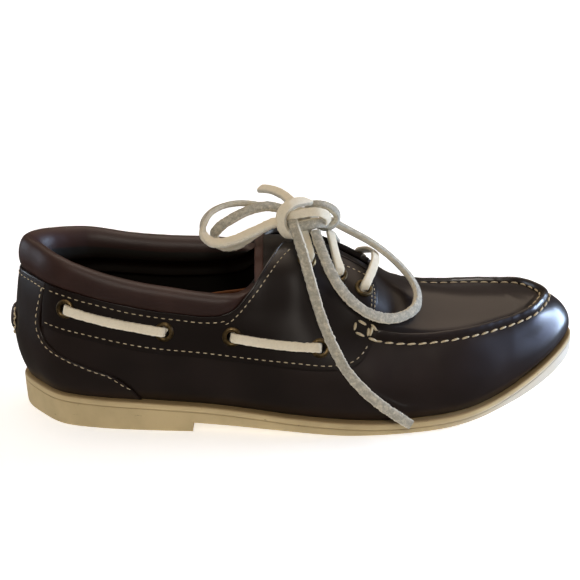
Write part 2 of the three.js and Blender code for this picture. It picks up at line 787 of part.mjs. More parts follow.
// A bar across the throat: up out of one facing, over the tongue and down into the other.
function throatBar(row, { lean, arch }) {
  const lateral = eyeletPlace("lateral", FACING_EYELETS.lateral[row]);
  const medial = eyeletPlace("medial", FACING_EYELETS.medial[row]);
  const rise = EYELET.crown + LACE_THICK / 2 + GAP;
  const lifted = ({ point, normal }, height, inwards) => {
    const inner = new THREE.Vector3(0, point.y < 0 ? 1 : -1, 0).projectOnPlane(normal).normalize();
    return point.clone().addScaledVector(normal, height).addScaledVector(inner, inwards);
  };
  const leg = (at) => {
    return [lifted(at, -1, 0), lifted(at, 1, 0), lifted(at, rise - 0.3, 0.6), lifted(at, rise + 0.4, 1.8)];
  };
  const [start, finish] = [leg(lateral), leg(medial).reverse()];
  const steps = 7;
  const middle = Array.from({ length: steps }, (_, i) => {
    const share = (i + 1) / (steps + 1);
    const bow = Math.sin(Math.PI * share);
    const y = THREE.MathUtils.lerp(start[3].y, finish[0].y, share);
    const x = THREE.MathUtils.lerp(start[3].x, finish[0].x, share) + lean * bow;
    return new THREE.Vector3(x, y, heightOnLast(x, y) + rise + 0.4 + arch * bow);
  });
  const points = [...start, ...middle, ...finish];
  const forward = new THREE.Vector3(1, 0, 0);
  return ribbon(points, points.map(() => forward));
}

// Height of the last's upper face over a point of the plan.
function heightOnLast(x, y) {
  const place = stationAt(y < spineY(x) ? "lateral" : "medial", x);
  const wanted = Math.abs(y - spineY(x));
  let low = 4;
  let high = CROWN_LEVEL;
  for (let i = 0; i < 40; i++) {
    const middle = (low + high) / 2;
    if (sectionAt(place, middle).r > wanted) low = middle;
    else high = middle;
  }
  return sectionAt(place, low).z;
}

// A leg from a top eyelet up to the knot.
function knotLeg(side) {
  const at = eyeletPlace(side, FACING_EYELETS[side][0]);
  const rise = EYELET.crown + LACE_THICK / 2 + GAP;
  const toKnot = side === "lateral" ? 1 : -1;
  const inner = new THREE.Vector3(0, toKnot, 0).projectOnPlane(at.normal).normalize();
  const lifted = (height, inwards) =>
    at.point.clone().addScaledVector(at.normal, height).addScaledVector(inner, inwards);
  const [x, y, z] = KNOT.centre;
  const top = new THREE.Vector3(x - 3.5, y - toKnot * (KNOT.radii[1] + 1.2), z - 4.2);
  const points = [lifted(-1, 0), lifted(1, 0), lifted(rise - 0.5, 0.5), lifted(rise + 0.3, 1.8)];
  points.push(points[3].clone().lerp(top, 0.5).addScaledVector(at.normal, 0.8), top);
  const forward = new THREE.Vector3(1, 0, 0);
  return ribbon(points, points.map(() => forward));
}

function buildKnot() {
  const ball = new THREE.SphereGeometry(1, 14, 10);
  ball.scale(...KNOT.radii);
  ball.translate(...KNOT.centre);
  return solidOf(ball);
}

function buildCord(name) {
  const path = new THREE.CatmullRomCurve3(ROUTES[name].map((p) => new THREE.Vector3(...p)));
  const sides = 8;
  const corners = Array.from({ length: sides }, (_, i) => {
    const angle = (2 * Math.PI * i) / sides;
    return new THREE.Vector2(CORD_RADIUS * Math.cos(angle), CORD_RADIUS * Math.sin(angle));
  });
  const settings = { steps: CORD_STEPS[name], extrudePath: path };
  return solidOf(new THREE.ExtrudeGeometry(new THREE.Shape(corners), settings));
}

// ---- Heel tab -----------------------------------------------------------------------------------
// A small roll of leather sewn across the back of the heel.
const HEEL_TAB = { z: 50.5, height: 13, thick: 3.2, reach: 2, sides: 12 };

function buildHeelTab() {
  const steps = 3;
  const xs = Array.from({ length: steps + 1 }, (_, i) => (HEEL_TAB.reach * i * i) / (steps * steps));
  const path = [
    ...xs.slice(1).reverse().map((x) => stationAt("lateral", x)),
    ...xs.map((x) => stationAt("medial", x)),
  ];
  const sections = path.map((place, i) => {
    const taper = 1 - 0.35 * Math.abs((2 * i) / (path.length - 1) - 1) ** 2;
    return Array.from({ length: HEEL_TAB.sides }, (_, k) => {
      const angle = (2 * Math.PI * k) / HEEL_TAB.sides;
      const z = HEEL_TAB.z + (HEEL_TAB.height / 2) * taper * Math.sin(angle);
      const wall = sectionAt(place, levelAtHeight(place, z)).r;
      return placed(place, wall + 0.5 + (HEEL_TAB.thick / 2) * (1 + Math.cos(angle)), z);
    });
  });
  return loft(sections);
}

// ---- Materials and assembly ---------------------------------------------------------------------
const finish = (color, roughness, metalness = 0) =>
  new THREE.MeshStandardMaterial({ color, roughness, metalness });
const MATERIALS = {
  rubber: finish(0xd9c8a5, 0.65),
  leather: finish(0x2a1a18, 0.25),
  collar: finish(0x4a2a24, 0.4),
  lining: finish(0x7a4f33, 0.8),
  brass: finish(0x6e5a3a, 0.45, 1),
  rawhide: finish(0xe3dac2, 0.8),
};

const shoe = new THREE.Group();
const add = (name, solid, material) => shoe.add(meshOf(name, solid, material));

const eyelets = {};
for (const side of ["lateral", "medial"]) {
  FACING_EYELETS[side].forEach((row, i) => {
    eyelets[`facing_eyelet_${side}_${i + 1}`] = eyeletPlace(side, row);
  });
  SIDE_EYELETS[side].forEach((row, i) => {
    eyelets[`side_eyelet_${side}_${i + 1}`] = eyeletPlace(side, row);
  });
}

let upper = buildUpper();
for (const at of Object.values(eyelets)) upper = upper.subtract(eyeletHole(at));

add("outsole", buildSole(), MATERIALS.rubber);
add("insole", buildInsole(), MATERIALS.lining);
add("upper", upper, MATERIALS.leather);
add("collar", buildCollar(), MATERIALS.collar);
add("tongue", buildTongue(), MATERIALS.leather);
add("heel_tab", buildHeelTab(), MATERIALS.leather);
for (const [name, at] of Object.entries(eyelets)) add(name, eyeletSolid(at), MATERIALS.brass);
for (const side of ["lateral", "medial"]) {
  const [first, second, third, fourth] = SIDE_EYELETS[side];
  add(`side_lace_${side}_1`, sideBar(side, first, second), MATERIALS.rawhide);
  add(`side_lace_${side}_2`, sideBar(side, third, fourth), MATERIALS.rawhide);
  add(`knot_leg_${side}`, knotLeg(side), MATERIALS.rawhide);
}
add("throat_lace_1", throatBar(1, { lean: 2, arch: 2.5 }), MATERIALS.rawhide);
add("throat_lace_2", throatBar(2, { lean: 6.5, arch: 4.5 }), MATERIALS.rawhide);
add("lace_knot", buildKnot(), MATERIALS.rawhide);
for (const name of Object.keys(ROUTES)) add(name, buildCord(name), MATERIALS.rawhide);

// The origin goes under the middle of the shoe without its free lace.
const body = new THREE.Box3();
for (const mesh of shoe.children) if (!/^lace_/.test(mesh.name)) body.expandByObject(mesh, true);
const middle = body.getCenter(new THREE.Vector3());
shoe.position.set(-middle.x, -middle.y, -body.min.z);

export default shoe;
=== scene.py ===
"""Boat shoe for the right foot: its looks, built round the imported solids."""

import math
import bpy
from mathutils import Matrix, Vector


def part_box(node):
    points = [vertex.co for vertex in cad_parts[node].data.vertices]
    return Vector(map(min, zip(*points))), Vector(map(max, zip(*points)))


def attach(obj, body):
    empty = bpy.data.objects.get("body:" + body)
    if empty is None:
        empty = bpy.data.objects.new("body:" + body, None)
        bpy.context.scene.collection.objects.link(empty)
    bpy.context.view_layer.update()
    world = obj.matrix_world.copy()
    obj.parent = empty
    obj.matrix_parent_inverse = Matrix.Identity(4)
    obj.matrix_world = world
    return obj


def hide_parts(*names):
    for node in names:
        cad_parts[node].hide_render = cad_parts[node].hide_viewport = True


bl_info = {
    "name": "Boat Shoe",
    "version": (1, 0, 0),
    "blender": (4, 5, 0),
    "location": "View3D > Sidebar > Shoe",
    "description": "Builds the leather, sole, stitching and rawhide lace of a boat shoe",
    "category": "Add Mesh",
}

from functools import lru_cache
from types import SimpleNamespace

import bmesh
import bpy
from bpy.props import FloatProperty, FloatVectorProperty, PointerProperty
from bpy.types import Operator, Panel, PropertyGroup
from mathutils import Matrix, Vector, noise

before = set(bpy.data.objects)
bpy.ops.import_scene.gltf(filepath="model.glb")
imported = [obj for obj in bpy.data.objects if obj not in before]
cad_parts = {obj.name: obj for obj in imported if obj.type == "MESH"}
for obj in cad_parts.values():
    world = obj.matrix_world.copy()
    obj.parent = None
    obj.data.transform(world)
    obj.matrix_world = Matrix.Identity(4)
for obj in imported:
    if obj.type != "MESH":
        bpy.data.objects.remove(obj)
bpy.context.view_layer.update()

# ---- The last, in millimetres from the heel's back, the centre line and the floor ----
MM = 0.001
LENGTH = 300
HEEL_LENGTH = 95
HEEL_SPINE = 38  # x where the spine starts
TOE_SPINE = 262  # and where it ends
LEDGE = 4  # of the sole, past the upper's foot
WALL = 2
SHOULDER = 4  # levels of a section: 0 at the sole, 4 at the shoulder, 6 at the crown
CROWN_LEVEL = 6
SIDES = ("lateral", "medial")
SHOE_MIDDLE = (150, 0, 30)
SOLE_LATERAL_EDGE = -55  # the sole's widest place, which gives the frame's shift across

# x, lateral edge, medial edge
OUTLINE = (
    (0, 0, 0), (10, -18.3, 20), (25, -32, 29), (45, -38.4, 33), (75, -43, 32.5), (110, -47, 30),
    (150, -53, 33.5), (185, -55, 42.5), (210, -52.8, 47.5), (235, -47.3, 48), (260, -34.8, 45),
    (280, -22, 36.5), (293, -9.5, 24.5), (300, 6.75, 6.75),
)
SOLE_TOP = ((0, 18.8), (95, 15.3), (200, 6.8), (250, 10.6), (300, 30.5))
SOLE_BOTTOM = ((95, 5), (140, 2.5), (178, 0), (212, 0), (240, 2.15), (270, 8.3), (300, 18.8))
# x, y, height of the crown
SPINE = (
    (38, -1, 98), (75, -3, 97), (110, -5, 95), (136, -5.4, 93.5), (152, -5, 94), (165, -4, 89.5),
    (175, -3, 84), (186, -1.9, 76), (199, 0, 66.5), (215, 1.4, 60), (235, 3, 55.5), (262, 5.5, 53),
)
# x, then inset and height of: low, belly, waist, shoulder, brow
HEEL_BACK = (0, (1.5, 26), (-0.6, 40), (2.5, 62), (5.5, 76), (10, 90))
TOE_TIP = (300, (1.5, 33.5), (1.5, 38), (4.5, 44), (13, 50.5), (22, 52))
SECTIONS = {
    "lateral": (
        HEEL_BACK,
        (45, (1, 25), (-1.5, 38), (1, 58), (4.4, 72), (9, 84)),
        (75, (1, 24), (-1, 36), (1.5, 52), (5, 65), (10, 80)),
        (110, (1, 22), (0, 32), (2.5, 48), (5.5, 62), (10, 75)),
        (130, (1, 20), (0.5, 30), (4, 47), (9, 63), (17, 80)),
        (150, (1, 18), (0.5, 28), (5, 44), (14, 62), (26, 82)),
        (168, (1, 17), (0.5, 26), (5, 40), (14.5, 54), (27, 72)),
        (185, (1, 15), (0.5, 24), (6, 37), (15, 48), (26, 66)),
        (200, (1, 14), (1, 22), (6, 34), (14, 45), (28, 57)),
        (215, (1, 13), (1, 21), (5.5, 32.5), (13.5, 44), (27, 51.5)),
        (235, (1, 14), (1.2, 21.5), (5, 32.5), (13, 44.5), (26, 49.5)),
        (260, (1, 19), (1.2, 25.5), (4.5, 35), (12, 45.5), (22, 49.5)),
        (280, (1, 25), (1.2, 30), (4.5, 38), (9.5, 47.5), (18, 51)),
        TOE_TIP,
    ),
    "medial": (
        HEEL_BACK,
        (45, (1, 25), (-1.5, 38), (1, 60), (4, 76), (8, 89)),
        (75, (1, 24), (-1, 38), (1, 56), (4, 71), (8, 85)),
        (110, (0, 22), (-3, 34), (-2, 52), (1, 67), (6, 80)),
        (130, (0, 20), (-3, 32), (-1, 50), (5, 70), (11, 86)),
        (150, (0, 18), (-2.5, 30), (1, 48), (7, 66), (15, 84)),
        (168, (0.5, 17), (-1, 28), (3, 43), (10, 59), (18, 75)),
        (185, (1, 16), (0, 26), (4, 40), (10.5, 53), (20, 68)),
        (200, (1, 15), (0.5, 24), (4, 37), (9.5, 51), (21, 59.5)),
        (215, (1, 14), (1, 23), (4, 35), (10, 47.5), (22, 53.5)),
        (235, (1, 15), (1.2, 22.5), (4.5, 34), (10.5, 46.8), (24, 51)),
        (260, (1, 19), (1.2, 25.5), (4.5, 35.5), (11, 48), (22, 51)),
        (280, (1, 25), (1.2, 30), (4.5, 38.5), (9, 49.2), (18, 51.7)),
        TOE_TIP,
    ),
}
# x, height on the lateral side, height on the medial side
TOP_LINE = (
    (-10, 79.5, 79), (10, 79, 77.8), (20, 77.5, 77.2), (33, 75, 77), (45, 72, 76.3),
    (60, 68.5, 75.2), (75, 65.5, 74.3), (90, 63.8, 74.1), (103, 62.6, 74.3), (113, 63.2, 75),
    (120, 66, 76.8), (127, 73, 81), (136, 83.5, 87.5), (144, 91.5, 93), (150, 98, 98.5),
)
TOP_LINE_HALF = 40  # the heights above stand this far to each side
# x, lateral edge, medial edge
THROAT = ((140, -15, 6), (152, -14, 7.5), (175, -12.8, 9.5), (186, -12.5, 11.5), (189.5, -8.5, 8))
THROAT_FRONT = 189.5
TONGUE_SIDES = ((131, 4.55, 4.5), (150, 4.5, 4.45), (175, 4.55, 4.5), (200, 4.9, 4.85))
# x, height of the padded roll over the top line
COLLAR_ROLL = (
    (0, 17), (30, 15.5), (60, 13), (90, 12), (110, 10.5), (117, 8.6), (122, 5), (127, 0.5),
    (131, -3),
)
COLLAR_FRONT = 131
# x and height of each eyelet's middle
EYELETS = {
    "facing_eyelet_lateral": ((155.5, 84), (171.4, 75.8), (184.1, 69)),
    "facing_eyelet_medial": ((155.5, 85.7), (171.4, 77.6), (184.1, 70.5)),
    "side_eyelet_lateral": ((33.7, 65.9), (83.7, 55.3), (117.6, 52.7), (161, 46.2)),
    "side_eyelet_medial": ((33.7, 67), (83.7, 59), (117.6, 56.5), (161, 49.5)),
}
SEAM_START = 187.5  # where the raised seam round the toe begins
SEAM_VALLEY = 0.9  # how far the plug dips just inside the seam

# Free lace: the same routes as its solids.
KNOT = (155, -3, 101.5)
ROUTES = {
    "front_loop": (
        (164.5, 0, 100.5), (170, 1.5, 97), (179, 2, 91.5), (189.5, 1, 85.5), (199, -1, 78.5),
        (206.5, -4, 71.5), (211.5, -9, 65.5), (213, -17, 61), (209.8, -27, 57.5),
        (199.5, -35.5, 56.5), (189, -39, 59.5), (179.5, -38.8, 65.6), (172.3, -35.8, 73.3),
        (167, -31, 82), (163.4, -24, 90), (160.5, -15.5, 97.2),
    ),
    "rear_loop": (
        (144.5, -1, 104.5), (132, 0, 107.5), (123, -1, 109), (113.5, -4, 108.5), (107, -8, 106),
        (104, -14, 102), (104.8, -19.5, 97.5), (110, -22.5, 94.8), (120, -22.5, 96.3),
        (130, -20, 99.7), (139, -15.5, 102), (145, -10.5, 102.2),
    ),
    "rear_loop_inner": (
        (146, -3.5, 105), (141.5, -4.5, 107), (136, -6, 108.4), (130, -8, 107.9),
        (123.5, -11, 106.5), (117.6, -13.5, 104), (112, -14.6, 100.6), (108.8, -14.2, 95.4),
        (112.6, -13, 90.2), (119.5, -12.6, 90), (126, -12.6, 93.6), (131.5, -12.4, 97.4),
        (137.5, -11.5, 100.3), (145, -7.5, 101),
    ),
    "front_end": (
        (149.2, -15, 103.4), (151, -21, 98.3), (153.8, -28.5, 90.5), (157.4, -37, 78),
        (161.8, -43.8, 62.5), (166.8, -49.7, 50), (173, -55.2, 38.5), (181, -58.4, 29),
        (190, -60, 20.8), (198, -60.2, 14.4), (205, -59.8, 9),
    ),
    "rear_end": (
        (152, 7, 103), (148.5, 14, 105.2), (143.5, 24, 106.5), (137.5, 35, 106), (132, 45, 104),
    ),
}

SHIFT = Vector((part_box("outsole")[0].x / MM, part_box("outsole")[0].y / MM - SOLE_LATERAL_EDGE, 0))


def row(point):
    """A point of the last, in millimetres, as a point of the frame, in metres."""
    return (Vector(point) + SHIFT) * MM


def mix(a, b, share):
    return a + (b - a) * share


def clamp(value, low=0.0, high=1.0):
    return min(max(value, low), high)


def soft_step(low, high, value):
    share = clamp((value - low) / (high - low))
    return share * share * (3 - 2 * share)


def hermite(a, b, slope_a, slope_b, t):
    share = t * t * (3 - 2 * t)
    return a * (1 - share) + b * share + slope_a * t * (1 - t) ** 2 - slope_b * t * t * (1 - t)


def track(keys, values):
    """A smooth function through a table's rows, without overshoot."""
    last = len(keys) - 1
    steps = [after - before for before, after in zip(keys, keys[1:])]
    rises = [(b - a) / step for a, b, step in zip(values, values[1:], steps)]
    slopes = [rises[0]]
    for i in range(1, last):
        before, after = rises[i - 1], rises[i]
        mean = (steps[i] * before + steps[i - 1] * after) / (steps[i - 1] + steps[i])
        limit = 3 * min(abs(before), abs(after))
        slopes.append(clamp(mean, -limit, limit) if before * after > 0 else 0)
    slopes.append(rises[-1])

    def value(key):
        at = clamp(key, keys[0], keys[last])
        i = 0
        while i < last - 1 and at >= keys[i + 1]:
            i += 1
        step = steps[i]
        t = (at - keys[i]) / step
        return hermite(values[i], values[i + 1], slopes[i] * step, slopes[i + 1] * step, t)

    return value


def column(rows, place):
    return track([line[0] for line in rows], [line[place] for line in rows])


def turn_of(x):
    """Turn from the heel's back, 0, to the toe's tip, pi."""
    return math.acos(clamp(1 - 2 * x / LENGTH, -1, 1))


def by_side(rows):
    return {side: column(rows, i) for i, side in enumerate(SIDES, 1)}


def level_tracks(rows):
    keys = [line[0] for line in rows]
    return [
        tuple(track(keys, [line[level][axis] for line in rows]) for axis in (0, 1))
        for level in range(1, CROWN_LEVEL)
    ]


outline_y = by_side([(turn_of(x), lateral, medial) for x, lateral, medial in OUTLINE])
sole_top = column(SOLE_TOP, 1)
arch_bottom = column(SOLE_BOTTOM, 1)
spine_y = column(SPINE, 1)
crown = column(SPINE, 2)
top_line_at = by_side(TOP_LINE)
throat_y = by_side(THROAT)
tongue_level = by_side(TONGUE_SIDES)
collar_height = column(COLLAR_ROLL, 1)
section_tracks = {side: level_tracks(rows) for side, rows in SECTIONS.items()}


def sole_bottom(x):
    return 0 if x < HEEL_LENGTH else arch_bottom(x)


def top_line(x, y):
    share = (y + TOP_LINE_HALF) / (2 * TOP_LINE_HALF)
    return mix(top_line_at["lateral"](x), top_line_at["medial"](x), share)


def turn_at(side, x):
    return -turn_of(x) if side == "lateral" else turn_of(x)


@lru_cache(maxsize=None)
def station(turn):
    """The section of the last at a turn: minus is the lateral side, plus the medial side."""
    side = "lateral" if turn < 0 else "medial"
    x = LENGTH / 2 * (1 - math.cos(turn))
    y = outline_y[side](abs(turn))
    spine_x = clamp(x, HEEL_SPINE, TOE_SPINE)
    spine = (spine_x, spine_y(spine_x))
    reach = math.hypot(x - spine[0], y - spine[1])
    out = ((x - spine[0]) / reach, (y - spine[1]) / reach)
    points = [(reach - LEDGE, sole_top(x) + 0.3)]
    points += [(reach - inset(x), height(x)) for inset, height in section_tracks[side]]
    points.append((0, crown(spine_x)))
    points.append((-points[5][0], points[5][1]))
    spans = [math.dist(a, b) for a, b in zip(points, points[1:])]
    rises = [((b[0] - a[0]) / s, (b[1] - a[1]) / s) for a, b, s in zip(points, points[1:], spans)]
    slopes = [rises[0]]
    for i in range(1, len(rises)):
        near, far = spans[i - 1], spans[i]
        pairs = zip(rises[i - 1], rises[i])
        slopes.append(tuple((far * a + near * b) / (far + near) for a, b in pairs))
    return SimpleNamespace(
        side=side, x=x, spine=spine, out=out, reach=reach, points=points, spans=spans, slopes=slopes
    )


def section(place, level, out=0.0):
    """Distance from the spine and height of a section's point, moved outwards."""
    i = min(int(level), CROWN_LEVEL - 1)
    t = level - i
    (ra, za), (rb, zb) = place.points[i], place.points[i + 1]
    span = place.spans[i]
    (sra, sza), (srb, szb) = place.slopes[i], place.slopes[i + 1]
    r = hermite(ra, rb, sra * span, srb * span, t)
    z = hermite(za, zb, sza * span, szb * span, t)
    if not out:
        return r, z
    share = 6 * t * (1 - t)
    dr = (rb - ra) * share + (sra * (1 - t) * (1 - 3 * t) + srb * t * (3 * t - 2)) * span
    dz = (zb - za) * share + (sza * (1 - t) * (1 - 3 * t) + szb * t * (3 * t - 2)) * span
    size = math.hypot(dr, dz)
    return r + dz / size * out, z - dr / size * out


def off_spine(spot, r, z):
    """A point at a distance from the spine, in the plane of a section."""
    return Vector((spot.spine[0] + spot.out[0] * r, spot.spine[1] + spot.out[1] * r, z))


def skin(turn, level, out=0.0):
    """A point on the last, moved outwards by a distance."""
    place = station(turn)
    return off_spine(place, *section(place, level, out))


def skin_normal(turn, level):
    step = 1e-3
    around = skin(turn + step, level) - skin(turn - step, level)
    up = skin(turn, level + step) - skin(turn, level - step)
    return up.cross(around).normalized()


def last_level(low, holds):
    """The highest level up to which a test holds, found by halving."""
    high = float(CROWN_LEVEL)
    for _ in range(30):
        middle = (low + high) / 2
        if holds(middle):
            low = middle
        else:
            high = middle
    return low


@lru_cache(maxsize=None)
def level_at_height(turn, z):
    return last_level(1.0, lambda level: section(station(turn), level)[1] < z)


@lru_cache(maxsize=None)
def level_at_reach(turn, wanted):
    """Level on the upper face of the last where it lies a distance from the spine."""
    return last_level(3.6, lambda level: section(station(turn), level)[0] > wanted)


@lru_cache(maxsize=None)
def top_edge(turn):
    """Height and level of the top line."""
    place = station(turn)
    z = top_line(place.x, 0)
    level = CROWN_LEVEL
    for _ in range(4):
        level = level_at_height(turn, z)
        r = section(place, level)[0]
        z = top_line(place.spine[0] + place.out[0] * r, place.spine[1] + place.out[1] * r)
    return z, level


@lru_cache(maxsize=None)
def open_level(turn):
    """Level at which the leather ends: the top line, the throat's edge, or the crown."""
    place = station(turn)
    level = float(CROWN_LEVEL)
    if place.x < TOP_LINE[-1][0]:
        level = top_edge(turn)[1]
    if THROAT[0][0] <= place.x <= THROAT_FRONT:
        edge = abs(throat_y[place.side](place.x) - place.spine[1])
        level = min(level, level_at_reach(turn, edge))
    return level


def eyelet_places():
    """Name, middle and outward direction of every eyelet."""
    for group, spots in EYELETS.items():
        side = group.rsplit("_", 1)[1]
        for number, (x, z) in enumerate(spots, 1):
            turn = turn_at(side, x)
            level = level_at_height(turn, z)
            yield f"{group}_{number}", skin(turn, level), skin_normal(turn, level)


# ---- Meshes ----
def mapped_grid(columns, rows, place, bm=None, closed=False):
    """A flat grid, its points moved to place(a, b): a along the columns, b up the rows."""
    bm = bm or bmesh.new()
    grid = bmesh.ops.create_grid(bm, x_segments=columns, y_segments=rows, size=0.5)
    uv = bm.loops.layers.uv.verify()
    spots = {vert: (vert.co.x + 0.5, vert.co.y + 0.5) for vert in grid["verts"]}
    for face in {face for vert in grid["verts"] for face in vert.link_faces}:
        for loop in face.loops:
            loop[uv].uv = spots[loop.vert]
    for vert, (a, b) in spots.items():
        vert.co = row(place(a, b))
    if closed:
        bmesh.ops.remove_doubles(bm, verts=grid["verts"], dist=2e-6)
    return bm


def even_path(points, step, closed=False):
    """A smooth line through the points, as points an even step apart."""
    points = [Vector(point) for point in points]
    count = len(points)
    slopes = []
    for i in range(count):
        before = points[i - 1] if i or closed else points[0] * 2 - points[1]
        after = points[(i + 1) % count] if i < count - 1 or closed else points[-1] * 2 - points[-2]
        whole = (after - points[i]).length + (points[i] - before).length
        slopes.append((after - before) / max(whole, 1e-9))
    dense = []
    for i in range(count if closed else count - 1):
        a, b = points[i], points[(i + 1) % count]
        span = (b - a).length
        parts = max(2, int(span / step * 4))
        ends = (slopes[i] * span, slopes[(i + 1) % count] * span)
        dense += [hermite(a, b, *ends, k / parts) for k in range(parts)]
    dense.append(points[0].copy() if closed else points[-1].copy())
    return resample(dense, step)


def running_lengths(points):
    lengths = [0.0]
    for a, b in zip(points, points[1:]):
        lengths.append(lengths[-1] + (b - a).length)
    return lengths


def even_spots(lengths, parts):
    """Even places on a line: the point before each, and the share of the way to the next."""
    i = 0
    for k in range(parts + 1):
        wanted = lengths[-1] * k / parts
        while i < len(lengths) - 2 and lengths[i + 1] < wanted:
            i += 1
        yield i, (wanted - lengths[i]) / max(lengths[i + 1] - lengths[i], 1e-9)


def resample(dense, step):
    lengths = running_lengths(dense)
    spots = even_spots(lengths, max(2, round(lengths[-1] / step)))
    return [dense[i].lerp(dense[i + 1], clamp(share)) for i, share in spots]


def path_length(points):
    return sum((b - a).length for a, b in zip(points, points[1:]))


def fill_ends(bm):
    bmesh.ops.holes_fill(bm, edges=[edge for edge in bm.edges if edge.is_boundary])


def finish_piece(name, bm, material, replaces=(), turn_out=True, sharp=40):
    """Makes the mesh a piece of the shoe, with its finish and the solids that it stands for."""
    if turn_out:
        bmesh.ops.recalc_face_normals(bm, faces=bm.faces)
    mesh = bpy.data.meshes.new(name)
    bm.to_mesh(mesh)
    bm.free()
    mesh.shade_smooth()
    mesh.set_sharp_from_angle(angle=math.radians(sharp))
    mesh.materials.append(material)
    piece = bpy.data.objects.new(name, mesh)
    bpy.context.scene.collection.objects.link(piece)
    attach(piece, "root")
    if replaces:
        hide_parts(*replaces)
    return piece


def finish_skin(name, bm, material, thickness, rim=0.0, replaces=(), eyelets=False, sharp=80):
    """Makes an open skin a piece with its thickness inwards, and rounds the edges round it."""
    bmesh.ops.recalc_face_normals(bm, faces=bm.faces)
    middle = row(SHOE_MIDDLE)
    votes = sum(face.normal.dot(face.calc_center_median() - middle) for face in bm.faces)
    if votes < 0:
        bmesh.ops.reverse_faces(bm, faces=bm.faces)
    if eyelets:
        cut_eyelet_holes(bm)
    piece = finish_piece(name, bm, material, replaces, False, sharp)
    wall = piece.modifiers.new("Wall", "SOLIDIFY")
    wall.thickness = thickness * MM
    wall.offset = -1
    if rim:
        edge = piece.modifiers.new("Rim", "BEVEL")
        edge.width = rim * MM
        edge.segments = 2
        edge.limit_method = "ANGLE"
        edge.angle_limit = math.radians(50)


def cut_eyelet_holes(bm, radius=3.5):
    spots = [row(middle) for _, middle, _ in eyelet_places()]
    near = [
        face
        for face in bm.faces
        if any((face.calc_center_median() - spot).length < radius * MM for spot in spots)
    ]
    bmesh.ops.delete(bm, geom=near, context="FACES")


def ribbon(name, points, faces, width, thick, material, replaces=(), rough=0.12, step=0.8):
    """A flat lace along points, its broad face turned to the direction given for each point."""
    path = even_path(points, step)
    if len(faces) != len(path):
        faces = even_path([Vector(face) * 30 for face in faces], 0.5)
    last = len(path) - 1
    frames = []
    for i, point in enumerate(path):
        along = (path[min(i + 1, last)] - path[max(i - 1, 0)]).normalized()
        face = faces[round(i / last * (len(faces) - 1))]
        face = (face - along * face.dot(along)).normalized()
        frames.append((point, face.cross(along), face))

    def place(a, b):
        point, side, face = frames[round(b * last)]
        angle = 2 * math.pi * a
        across = math.copysign(abs(math.cos(angle)) ** 0.45, math.cos(angle))
        up = math.copysign(abs(math.sin(angle)) ** 0.6, math.sin(angle))
        at_edge = abs(across) ** 4
        other_edge = Vector((7 * math.copysign(1, across), 0, 3))
        fray = rough * at_edge * noise.noise(point * 0.9 + other_edge)
        fray += rough * 0.6 * at_edge * noise.noise(point * 2.3)
        sway = 0.05 * noise.noise(point * 0.25)
        wide = across * width / 2 * (1 + sway) + across * fray
        return point + side * wide + face * (up * thick / 2)

    bm = mapped_grid(20, last, place, closed=True)
    fill_ends(bm)
    return finish_piece(name, bm, material, replaces, sharp=55)


def lay_stitches(bm, path, normals, pitch, length, radius, slant=0.0, lift=0.35):
    """Stitches of one thread along an even path, each dipping into the leather at both ends."""
    total = path_length(path)
    step = total / (len(path) - 1)
    count = max(1, round(total / pitch))
    span = total / count

    def at(distance):
        spot = clamp(distance / step, 0, len(path) - 1.001)
        i = int(spot)
        up = normals[i].lerp(normals[i + 1], spot - i).normalized()
        return path[i].lerp(path[i + 1], spot - i), up

    for k in range(count):
        middle = (k + 0.5) * span
        (start, up), (end, _) = at(middle - length / 2), at(middle + length / 2)
        along = (end - start).normalized()
        side = up.cross(along)
        start, end = start - side * slant, end + side * slant

        def place(a, b):
            bulge = math.sin(math.pi * clamp(b, 0.0, 1.0)) ** 0.5
            angle = 2 * math.pi * a
            point = start.lerp(end, b) + up * radius * (lift + 1.1 * bulge - 1.0)
            thick = radius * (0.25 + 0.75 * bulge) if 0 < b < 1 else 0
            return point + (side * math.cos(angle) + up * math.sin(angle)) * thick

        mapped_grid(6, 6, place, bm=bm, closed=True)


def lay_stitch(bm, start, end, normal, radius):
    """A single thick stitch from one point to another."""
    path = resample([start, end], 0.5)
    whole = path_length(path)
    lay_stitches(bm, path, [normal] * len(path), whole, whole, radius, 0.0, 0.6)


def row_on_skin(spots, out, step=0.5):
    """An even path over the leather through (turn, level) spots, and its normals."""
    turns = track_of([spot[0] for spot in spots])
    levels = track_of([spot[1] for spot in spots])
    parts = (len(spots) - 1) * 12
    dense = [(turns(k / parts), levels(k / parts)) for k in range(parts + 1)]
    points = [skin(turn, level, out) for turn, level in dense]
    normals = [skin_normal(turn, level) for turn, level in dense]
    path = resample(points, step)
    spots = even_spots(running_lengths(points), len(path) - 1)
    return path, [normals[i] for i, _ in spots]


def track_of(values):
    return track([i / (len(values) - 1) for i in range(len(values))], values)


def stepped_turns(*marks, step=0.02):
    """Turns from each mark to the next in even steps."""
    found = [marks[0]]
    for a, b in zip(marks, marks[1:]):
        parts = max(1, math.ceil(abs(b - a) / step))
        found += [mix(a, b, (k + 1) / parts) for k in range(parts)]
    return found


def all_round(*marks, step=0.02):
    """Stepped turns of the medial side, and the same on the lateral side."""
    medial = stepped_turns(*marks, step=step)
    return [-turn for turn in reversed(medial)] + medial[1:]


def round_toe(turn):
    """A turn counted on past the toe's tip, brought back to the side that it lies on."""
    return -turn if turn <= math.pi else 2 * math.pi - turn


def smooth_ring(points, share):
    """A point of the smooth closed line through the points, at a share of the way round."""
    count = len(points)
    spot = share * count
    i, t = int(spot) % count, spot - int(spot)
    a, b = points[i], points[(i + 1) % count]
    slope_a = (b - points[i - 1]) * 0.5
    slope_b = (points[(i + 2) % count] - a) * 0.5
    return hermite(a, b, slope_a, slope_b, t)


